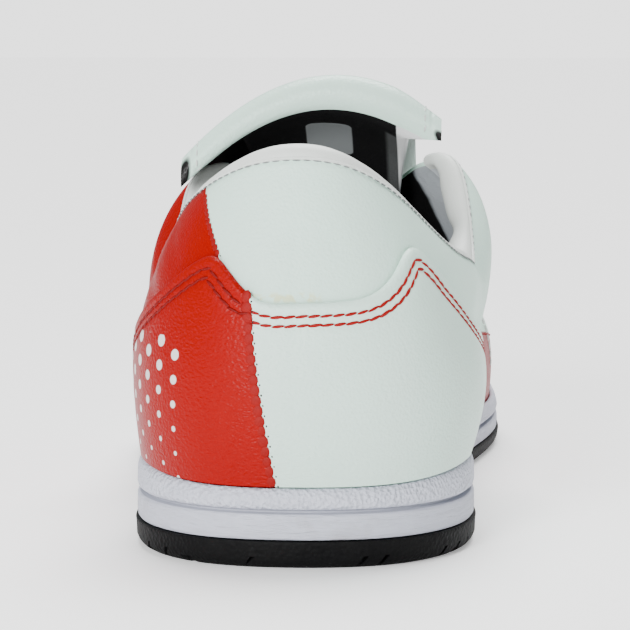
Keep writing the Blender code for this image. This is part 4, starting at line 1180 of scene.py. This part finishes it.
def top_distance(points):
    """Distance of each point of a grid to its top edge, measured square to that edge."""
    edge = points[:, -1]
    result = np.empty(points.shape[:2])
    for k in range(len(points)):
        near = edge[max(k - TOP_REACH, 0) : k + TOP_REACH + 1]
        result[k] = np.linalg.norm(points[k][:, None] - near[None], axis=2).min(axis=1)
    return result


RED_COUNTER = counter_leather("counter_red", RED, paint(142, 2, 1), True)
WHITE_COUNTER = counter_leather("counter_white", WHITE, paint(206, 228, 218), False)
build_counter("counter_outer_leather", COUNTER_END_OUTER, None, 200, RED_COUNTER, "counter_outer")
build_counter("counter_rear_leather", None, COUNTER_END_INNER, 260, WHITE_COUNTER, "counter_rear")


# %% [markdown]
# ## The sole
# The sole is moulded: a white cup with a groove round it, glued to a black tread. Both are stacks
# of loops that follow the outline at small insets, so every step in the side is a row of a table.
# The tread's grooves and the little cuts in its lower edge are carved out with boxes.

# %% Midsole and insole
# the groove's rows take a grey foam, painted as the shade in the groove
SOLE_WAYS, GROOVE_ROWS = ways_round(150, 40, 90), (5, 6, 7)


def sole_loop(inset, height):
    plan = inset_edge(SOLE_WAYS, inset)
    return np.column_stack([plan, height(plan[:, 1])])


def stacked(name, loops, materials, slot, node=None, marked=()):
    """A closed piece from loops; its ends are filled by rungs across the shoe."""
    count = len(SOLE_WAYS)
    faces = grid_faces(len(loops), count)
    slots = [1 if k // count in marked else 0 for k in range(len(faces))]
    for base in (0, (len(loops) - 1) * count):
        for i in range(count // 2):
            faces.append([base + v for v in (i, i + 1, (count - i - 1) % count, (count - i) % count)])
    guide = np.array([[(way * HALF_GIRTH, p[2]) for way, p in zip(SOLE_WAYS, loop)] for loop in loops])
    slots += [0] * (len(faces) - len(slots))
    made = add_piece(name, np.array(loops), faces, materials, guide.reshape(-1, 2), slots)
    return seat(made, slot, *([node] if node else []))


def moulded_foam():
    """Matte moulded white: a pebbled band above the groove, fine level grain below it."""
    finish = Finish("moulded_white")
    _, height = finish.guide()
    pebble = finish.cells(1050.0) * 0.7 + finish.noise(1800.0, 2.0) * 0.4
    grain = finish.noise(300.0, 4.0, 0.7, finish.stretched((0.35, 0.35, 3.4)))
    upper_band = height.above(0.0124, 0.0008)
    texture = pebble * upper_band + grain * (1 - upper_band) * 1.3
    dust = finish.noise(55.0, 4.0, 0.65)
    scuff = dust.above(0.62, 0.1) * height.below(0.0118, 0.003) * 0.5
    tone = finish.mix(dust * 0.8, SOLE_WHITE, paint(182, 186, 200))
    tone = finish.mix(scuff, tone, paint(176, 175, 180))
    normal = finish.bump(texture, 0.0008, 0.9)
    return finish.done(Base_Color=tone, Roughness=dust * 0.1 + 0.55, Normal=normal)


def groove_shade_foam():
    """The same white inside the groove, painted grey as the shade in the groove."""
    finish = Finish("moulded_groove_shade")
    tone = finish.mix(finish.noise(90.0, 3.0), paint(150, 153, 166), paint(172, 175, 188))
    return finish.done(Base_Color=tone, Roughness=0.7)


def over(at_heel, at_ball, extra=0.0):
    return lambda along: layer(along, at_heel, at_ball) + extra


def lip(less):
    return lambda along: lip_height(along) - less


def build_midsole():
    profile = [
        (0.0008, over(OUTSOLE_HEEL, OUTSOLE_BALL, SEAT_GAP)),
        (0.0005, over(OUTSOLE_HEEL, OUTSOLE_BALL, SEAT_GAP + 0.0004)),
        (0.0004, over(OUTSOLE_HEEL, OUTSOLE_BALL, SEAT_GAP + 0.0016)),
        *[(inset, over(GROOVE_HEEL, GROOVE_BALL, extra)) for inset, extra in (
            (0.0004, -0.0014), (0.0006, -0.0009), (0.0010, -0.0006), (0.0020, -0.0003), (0.0021, 0.0001),
            (0.0011, 0.0004), (0.0006, 0.0008), (0.0004, 0.0015))],
        *[(inset, lip(less)) for inset, less in (
            (0.0005, 0.0022), (0.0007, 0.0014), (0.0010, 0.0007), (0.0014, 0.0002), (0.0018, 0.0),
            (0.0022, 0.0001), (CUP_WALL, 0.0004))],
        (CUP_WALL, over(FLOOR_HEEL, FLOOR_BALL)),
    ]  # fmt: skip
    loops = [sole_loop(inset, height) for inset, height in profile]
    materials = (moulded_foam(), groove_shade_foam())
    return stacked("midsole_cup", loops, materials, "midsole", "midsole", GROOVE_ROWS)


INSOLE_THICKNESS, INSOLE_CLEARANCE = 0.0042, 0.0006


def build_insole():
    edge = UPPER_INSET + UPPER_WALL + INSOLE_CLEARANCE
    profile = ((0.0, 0.0), (0.0, 0.6), (0.0003, 0.85), (0.0012, 1.0), (0.0030, 0.93), (0.0060, 0.8))
    loops = [
        sole_loop(edge + inset, over(FLOOR_HEEL, FLOOR_BALL, SEAT_GAP + share * INSOLE_THICKNESS))
        for inset, share in profile
    ]
    material = bpy.data.materials["black_lining"]
    return stacked("insole_footbed", loops, (material,), "insole", "insole")


build_midsole()
build_insole()

# %% Outsole
TREAD_DEPTH, TREAD_WIDTH, TREAD_SLANT = 0.0015, 0.0024, 14.0
TREAD_PLACES = (0.05, 0.10, 0.20, 0.25, 0.53, 0.575, 0.62, 0.71, 0.755)
EDGE_CUTS = (-0.175, -0.150, -0.125, -0.100, -0.030, 0.045, 0.060, 0.115, 0.135, 0.155, 0.175)
CUT_WIDE, CUT_DEEP, CUT_TALL, CUT_LEAN, CUT_SINK = 0.0011, 0.0032, 0.0028, 35.0, 0.0002


def rubber():
    """Charcoal rubber with a pebbled side and a little dust."""
    finish = Finish("tread_rubber")
    pebble = finish.cells(1000.0) + finish.noise(1600.0, 3.0) * 0.5
    dust = finish.noise(75.0, 5.0, 0.6)
    tone = finish.mix(dust.above(0.55, 0.25) * 0.6, CHARCOAL, paint(22, 22, 22))
    normal = finish.bump(pebble, 0.00025, 0.7)
    return finish.done(
        Base_Color=tone, Roughness=dust * 0.2 + 0.5, Specular_IOR_Level=0.08, Normal=normal
    )


def add_box(work, middle, size, turn, lean):
    """A box in a bmesh, turned about the vertical and leaning about its own depth."""
    for corner in bmesh.ops.create_cube(work, size=1.0)["verts"]:
        x, y, z = corner.co.x * size[0], corner.co.y * size[1], corner.co.z * size[2]
        x += z * math.tan(lean)
        c, s = math.cos(turn), math.sin(turn)
        corner.co = (middle[0] + x * c - y * s, middle[1] + x * s + y * c, middle[2] + z)


def build_outsole():
    profile = [
        *[(inset, lambda along, h=h: lift(along) + h) for inset, h in (
            (0.0026, 0.0), (0.0019, 0.0002), (0.0012, 0.0006), (0.0006, 0.0013), (0.0002, 0.0022))],
        (0.0001, over(OUTSOLE_HEEL, OUTSOLE_BALL, -0.0010)),
        (0.0000, over(OUTSOLE_HEEL, OUTSOLE_BALL, -0.0004)),
        (0.0001, over(OUTSOLE_HEEL, OUTSOLE_BALL, -0.0001)),
        (0.0004, over(OUTSOLE_HEEL, OUTSOLE_BALL, 0.0)),
    ]  # fmt: skip
    made = stacked("outsole_tread", [sole_loop(*row) for row in profile], (rubber(),), "outsole", "outsole")
    slant = math.radians(TREAD_SLANT)
    size = (BALL_WIDTH * 1.4, TREAD_WIDTH, 2 * TREAD_DEPTH)
    middles = [(SHIFT[0], share * SOLE_LENGTH + SHIFT[1], 0.0) for share in TREAD_PLACES]
    carve(made, [(middle, size, slant, 0.0) for middle in middles])
    size, lean = (CUT_WIDE, CUT_DEEP, CUT_TALL), math.radians(CUT_LEAN)
    turns = [math.atan2(out[1], out[0]) + math.pi / 2 for out in edge_normals(EDGE_CUTS)]
    middles = [(x + SHIFT[0], y + SHIFT[1], CUT_TALL / 2 - CUT_SINK) for x, y in EDGE_AT(EDGE_CUTS)]
    carve(made, [(middle, size, turn, lean) for middle, turn in zip(middles, turns)])
    made.data.set_sharp_from_angle(angle=math.radians(40))
    print("outsole after carving:", sum(len(p.vertices) - 2 for p in made.data.polygons), "triangles")


def carve(piece, boxes):
    """Cuts boxes, given by middle, size, turn and lean, out of a piece."""
    work = bmesh.new()
    for box in boxes:
        add_box(work, *box)
    mesh = bpy.data.meshes.new("cuts")
    work.to_mesh(mesh)
    work.free()
    cutter = bpy.data.objects.new("cuts", mesh)
    bpy.context.scene.collection.objects.link(cutter)
    cut = piece.modifiers.new("cuts", "BOOLEAN")
    cut.operation, cut.solver, cut.object = "DIFFERENCE", "EXACT", cutter
    piece.data = plain_mesh(piece)
    piece.modifiers.clear()
    bpy.data.objects.remove(cutter)


def plain_mesh(piece):
    """The piece's mesh with its modifiers worked out."""
    graph = bpy.context.evaluated_depsgraph_get()
    worked_out = piece.evaluated_get(graph)
    options = {"preserve_all_data_layers": True, "depsgraph": graph}
    return bpy.data.meshes.new_from_object(worked_out, **options)


build_outsole()


# %% [markdown]
# ## Stitches
# A seam is a row of equal threads, each dipping into the leather at its ends. That is work for
# Geometry Nodes: the script gives one point a stitch, with the direction of the thread and the way
# out of the leather, and the tree sets a small thread on every point. Rows are laid out by the
# same wall function as the leather, so they can't float or sink.

# %% The tree that sets a thread on every point
THREAD_LEAST, THREAD_MOST = (0.86, 0.86, 0.86), (1.06, 1.12, 1.1)


def stitch_tree():
    tree = bpy.data.node_groups.new("stitches", "GeometryNodeTree")
    face = tree.interface
    face.new_socket("Geometry", in_out="INPUT", socket_type="NodeSocketGeometry")
    for name in ("Thread Length", "Thread Width", "Thread Height"):
        face.new_socket(name, in_out="INPUT", socket_type="NodeSocketFloat")
    face.new_socket("Seed", in_out="INPUT", socket_type="NodeSocketInt")
    face.new_socket("Material", in_out="INPUT", socket_type="NodeSocketMaterial")
    face.new_socket("Geometry", in_out="OUTPUT", socket_type="NodeSocketGeometry")

    def node(kind, settings=(), **sockets):
        made = tree.nodes.new(kind)
        for key, value in dict(settings).items():
            setattr(made, key, value)
        for key, value in sockets.items():
            plug(made.inputs[key.replace("_", " ")], value)
        return made

    given = node("NodeGroupInput").outputs
    halves = [Signal(given[name]) * 0.5 for name in ("Thread Length", "Thread Width", "Thread Height")]
    size = node("ShaderNodeCombineXYZ", X=halves[0], Y=halves[1], Z=halves[2]).outputs[0]
    ball = node("GeometryNodeMeshUVSphere", Segments=8, Rings=6, Radius=1.0).outputs[0]
    thread = node("GeometryNodeTransform", Geometry=ball, Scale=size).outputs[0]
    named = {"data_type": "FLOAT_VECTOR"}
    along = node("GeometryNodeInputNamedAttribute", named, Name="along").outputs[0]
    out = node("GeometryNodeInputNamedAttribute", named, Name="out").outputs[0]
    turn = node("FunctionNodeAlignRotationToVector", {"axis": "X"}, Vector=along).outputs[0]
    upright = {"axis": "Z", "pivot_axis": "X"}
    turn = node("FunctionNodeAlignRotationToVector", upright, Rotation=turn, Vector=out)
    uneven = node("FunctionNodeRandomValue", {"data_type": "FLOAT_VECTOR"}, Seed=given["Seed"])
    uneven.inputs["Min"].default_value = THREAD_LEAST
    uneven.inputs["Max"].default_value = THREAD_MOST
    placed = node("GeometryNodeInstanceOnPoints", Points=given["Geometry"], Instance=thread)
    plug(placed.inputs["Rotation"], turn.outputs[0])
    plug(placed.inputs["Scale"], uneven.outputs[0])
    real = node("GeometryNodeRealizeInstances", Geometry=placed.outputs[0]).outputs[0]
    smooth = node("GeometryNodeSetShadeSmooth", Geometry=real).outputs[0]
    dyed = node("GeometryNodeSetMaterial", Geometry=smooth, Material=given["Material"]).outputs[0]
    node("NodeGroupOutput", Geometry=dyed)
    return tree


STITCH_TREE = stitch_tree()


def thread_material(name, colour):
    finish = Finish(name)
    twist = finish.noise(2600.0, 3.0)
    tone = finish.mix(twist, colour, (*(c * 0.7 for c in colour[:3]), 1.0))
    normal = finish.bump(twist, 0.0001, 0.5)
    return finish.done(Base_Color=tone, Roughness=0.6, Specular_IOR_Level=0.2, Normal=normal)


RED_THREAD = thread_material("red_thread", RED)
DEEP_THREAD = thread_material("deep_red_thread", DEEP_RED)
GREY_THREAD = thread_material("grey_thread", GREY)
WHITE_THREAD = thread_material("white_thread", OFF_WHITE)
# dark dots, painted as the shade inside the needle holes beside the seams
HOLE_SHADE = thread_material("needle_hole_shade", paint(40, 36, 34))
WHIP_RED = thread_material("whip_thread", paint(146, 2, 1))


def spaced(points, outs, pitch, start=0.5):
    """Places, directions and outward directions at an even pitch along a line of points."""
    run = np.concatenate([[0], np.cumsum(np.linalg.norm(np.diff(points, axis=0), axis=1))])
    where = np.arange(start * pitch, run[-1], pitch)
    place = np.column_stack([np.interp(where, run, column) for column in points.T])
    outward = np.column_stack([np.interp(where, run, column) for column in outs.T])
    ahead = np.column_stack([np.interp(where + pitch * 0.3, run, column) for column in points.T])
    behind = np.column_stack([np.interp(where - pitch * 0.3, run, column) for column in points.T])
    along = ahead - behind
    unit = [v / np.maximum(np.linalg.norm(v, axis=1)[:, None], 1e-12) for v in (along, outward)]
    return place, unit[0], unit[1]


def wall_line(ways, shares, offset, creased=1.0):
    """A line over the leather, standing out by an offset, with its outward directions."""
    out = offset + crease_depth(ways, np.asarray(shares), creased)
    points, inward = wall_skin(ways, np.asarray(shares)[:, None], -out[:, None])
    return points[:, 0], -inward[:, 0]


def add_stitches(name, rows, size, material, slot, seed, tilts=(0.0,)):
    """One piece from rows of (place, along, out); the tilts turn the threads in their surface."""
    place, along, out = (np.concatenate([row[k] for row in rows]) for k in range(3))
    tilt = np.radians(np.resize(tilts, len(place)))[:, None]
    along = along * np.cos(tilt) + np.cross(out, along) * np.sin(tilt)
    mesh = bpy.data.meshes.new(name)
    mesh.from_pydata((place + SHIFT).tolist(), [], [])
    for key, value in (("along", along), ("out", out)):
        made = mesh.attributes.new(key, "FLOAT_VECTOR", "POINT")
        made.data.foreach_set("vector", value.astype(np.float32).ravel())
    made = bpy.data.objects.new(name, mesh)
    bpy.context.scene.collection.objects.link(made)
    nodes = made.modifiers.new("stitches", "NODES")
    nodes.node_group = STITCH_TREE
    wanted = {f"Thread {key}": value for key, value in zip(("Length", "Width", "Height"), size)}
    wanted |= {"Seed": seed, "Material": material}
    for socket in STITCH_TREE.interface.items_tree:
        if socket.in_out == "INPUT" and socket.name in wanted:
            nodes[socket.identifier] = wanted[socket.name]
    made.data = plain_mesh(made)
    made.modifiers.clear()
    triangles = sum(len(p.vertices) - 2 for p in made.data.polygons)
    print(f"{name}: {len(place)} threads, {triangles} triangles")
    return seat(made, slot)


# %% [markdown]
# ## Where the rows run
# Two rows follow the counter's edge, dark red on the red half and bright red on the white half. A
# whip stitch closes the leaning seam, a zigzag joins the quarter to the back panel, and one fine
# row holds the binding. In front, two rows hold the vamp's edge on each side.

# %% Lay out the rows
ON_COUNTER = COUNTER_GAP + COUNTER_SKIN - FURROW_DEPTH
PITCH, WHIP_PITCH, ZIGZAG_PITCH, BINDING_PITCH = 0.0026, 0.0022, 0.0014, 0.0022
ZIGZAG_FROM, ZIGZAG_TO, ZIGZAG_TOP = 0.0655, 0.0835, 0.0775
VAMP_FROM, VAMP_TO, VAMP_ROWS = 0.021, 0.047, (0.0016, 0.0036)
STRIPE_FROM, STRIPE_SHORT, STRIPE_ROW = 0.36, 0.03, -0.0014
WHIP_TOP, LINE_OUT = 0.985, 0.0001
# length, width and height of each kind of thread, and of the dark dots painted as the shade in needle holes
SEWN, FINE = (0.0033, 0.00078, 0.0008), (0.0025, 0.00055, 0.0005)
HEM_SEWN, BAND_SEWN = (0.0019, 0.0005, 0.0005), (0.0019, 0.00035, 0.0003)
WHIP_SEWN, ZIGZAG_SEWN = (0.0029, 0.0025, 0.0006), (0.0018, 0.0012, 0.0004)
WHIP_HOLE_SHADE, ZIGZAG_HOLE_SHADE = (0.0005, 0.0004, 0.0002), (0.0004, 0.0003, 0.0002)
# how far threads turn from their row, in degrees
ROW_TURN, WHIP_TURN, ZIGZAG_TURN = (7.0,), (-22.0,), (-28.0,)


def counter_rows(name, offset):
    rows = []
    for ways, shares in COUNTER_LINES[name]:
        points, outs = wall_line(ways, shares, offset, 0.5)
        rows.append(spaced(points, outs, PITCH))
    return rows


def whip_line(shift, offset):
    """The leaning seam, moved by shift towards the white half."""
    up = np.linspace(0.0, WHIP_TOP, 60)
    ways = SEAM_LOW + (SEAM_HIGH - SEAM_LOW) * up + shift / HALF_GIRTH
    base = wall(ways, [0.0])[:, 0, 2] + SEAT_GAP
    heights = base + (COUNTER_AT(ways)[:, 0] - base) * up
    return wall_line(ways, share_at_height(ways, heights), offset, 0.5)


def zigzag_line(shift=0.0):
    """The seam between quarter and back panel, above the counter."""
    height = np.linspace(ZIGZAG_FROM, ZIGZAG_TO, 40)
    ways = (seam_way(height) + shift) / HALF_GIRTH
    return wall_line(ways, share_at_height(ways, height), LINE_OUT)


def vamp_line(side, shift):
    height = np.linspace(VAMP_FROM, VAMP_TO, 50)
    ways = side * (VAMP_SEAM + (shift - (height - VAMP_HEIGHT) * VAMP_LEAN) / HALF_GIRTH)
    return wall_line(ways, share_at_height(ways, height), LINE_OUT)


def stripe_line():
    ways = np.linspace(STRIPE_FROM, STRIPE_END - STRIPE_SHORT, 120)
    height = STRIPE_TOP - np.maximum(ways - STRIPE_BEND, 0) * STRIPE_FALL + STRIPE_ROW
    return wall_line(ways, share_at_height(ways, height), LINE_OUT)


def low_part(rows, height):
    """Rows without the stitches above a height."""
    return [tuple(part[row[0][:, 2] < height] for part in row) for row in rows]


surface = COUNTER_GAP + COUNTER_SKIN
for half, thread, seed in (("rear", RED_THREAD, 3), ("outer", DEEP_THREAD, 4)):
    rows = counter_rows(f"counter_{half}_leather", ON_COUNTER)
    add_stitches(f"stitches_counter_{half}", rows, SEWN, thread, f"counter_{half}", seed, ROW_TURN)
lobes = [spaced(*whip_line(0.0001, surface - 0.00018), WHIP_PITCH)]
add_stitches("stitches_whip", lobes, WHIP_SEWN, WHIP_RED, "counter_outer", 5, WHIP_TURN)
# dark dots painted as the shade in the whip seam's needle holes
whip_hole_shades = [spaced(*whip_line(0.0015, surface - 0.00003), WHIP_PITCH, 0.06)]
add_stitches("stitches_whip_hole_shades", whip_hole_shades, WHIP_HOLE_SHADE, HOLE_SHADE, "counter_rear", 6)
zigzag = low_part([spaced(*zigzag_line(), ZIGZAG_PITCH)], ZIGZAG_TOP)
add_stitches("stitches_zigzag", zigzag, ZIGZAG_SEWN, WHIP_RED, "upper", 7, ZIGZAG_TURN)
# dark dots painted as the shade in the zigzag's needle holes
zigzag_hole_shades = low_part([spaced(*zigzag_line(0.0007), ZIGZAG_PITCH, 0.05)], ZIGZAG_TOP)
add_stitches("stitches_zigzag_hole_shades", zigzag_hole_shades, ZIGZAG_HOLE_SHADE, HOLE_SHADE, "upper", 12)
vamp = [spaced(*vamp_line(side, shift), PITCH) for side in (-1, 1) for shift in VAMP_ROWS]
add_stitches("stitches_vamp", vamp, FINE, WHITE_THREAD, "upper", 8)
add_stitches("stitches_stripe", [spaced(*stripe_line(), PITCH)], FINE, RED_THREAD, "upper", 9)
flap_rows = [spaced(*line, PITCH) for line in FLAP_HEMS]
add_stitches("stitches_flap", flap_rows, HEM_SEWN, WHITE_THREAD, "tongue", 10)
band_rows = [spaced(*BAND_LINE, BINDING_PITCH)]
add_stitches("stitches_binding", band_rows, BAND_SEWN, GREY_THREAD, "collar_lining", 11)

# %% [markdown]
# ## Floor and light
# The shoe stands on a plain white floor, lit as in a catalogue: broad soft light from above and a
# little in front, one panel behind the camera, a faint one at the left and a pale surround. Wide
# lights give a long soft gloss on the leather and a shadow that is dark only where the sole meets
# the floor. Floor and surround are lifted for the camera alone, which keeps the ground pale
# without washing out the colours.

# %% Studio
FLOOR_GLOW, SURROUND, SEEN_SURROUND, TOP_POWER = 0.4, 0.3, 2.4, 6.5
FLOOR_REACH, HEEL = 6.0, (0.0, -0.10, 0.05)
# name, place, size and power
PANELS = (
    ("panel_left", (-0.75, -0.75, 0.55), 0.40, 1.2),
    ("panel_behind", (-0.42, -1.45, 0.52), 0.42, 29.0),
)
TOP_TURN, TOP_SOFTNESS = (-30, 3, 0), 45


def add_panel(name, place, size, power):
    lamp = bpy.data.objects.new(name, bpy.data.lights.new(name, "AREA"))
    lamp.data.shape, lamp.data.size, lamp.data.energy = "SQUARE", size, power
    lamp.location = place
    way = np.array(HEEL) - np.array(place)
    lamp.rotation_euler = (math.acos(-way[2] / np.linalg.norm(way)), 0.0, math.atan2(-way[0], way[1]))
    bpy.context.scene.collection.objects.link(lamp)


def add_floor():
    mesh = bpy.data.meshes.new("floor")
    far = FLOOR_REACH
    corners = [(-far, -far, 0), (far, -far, 0), (far, far, 0), (-far, far, 0)]
    mesh.from_pydata(corners, [], [(0, 1, 2, 3)])
    finish = Finish("floor_white")
    seen = finish.node("ShaderNodeLightPath").outputs["Is Camera Ray"]
    white = (0.92, 0.92, 0.92, 1.0)
    glow = finish.mix(seen, (0.0, 0.0, 0.0, 1.0), white)
    finish.done(Base_Color=white, Roughness=0.9, Emission_Color=glow, Emission_Strength=FLOOR_GLOW)
    mesh.materials.append(finish.material)
    floor = bpy.data.objects.new("floor", mesh)
    bpy.context.scene.collection.objects.link(floor)


add_floor()
for panel in PANELS:
    add_panel(*panel)
top_light = bpy.data.lights.new("top_light", "SUN")
top_light.energy, top_light.angle = TOP_POWER, math.radians(TOP_SOFTNESS)
top = bpy.data.objects.new("top_light", top_light)
top.rotation_euler = [math.radians(turn) for turn in TOP_TURN]
bpy.context.scene.collection.objects.link(top)
world = bpy.data.worlds.new("surround")
world.use_nodes = True
surround = world.node_tree.nodes["Background"]
seen = Signal(world.node_tree.nodes.new("ShaderNodeLightPath").outputs["Is Camera Ray"])
surround.inputs["Color"].default_value = (1.0, 1.0, 1.0, 1.0)
plug(surround.inputs["Strength"], seen * (SEEN_SURROUND - SURROUND) + SURROUND)
bpy.context.scene.world = world
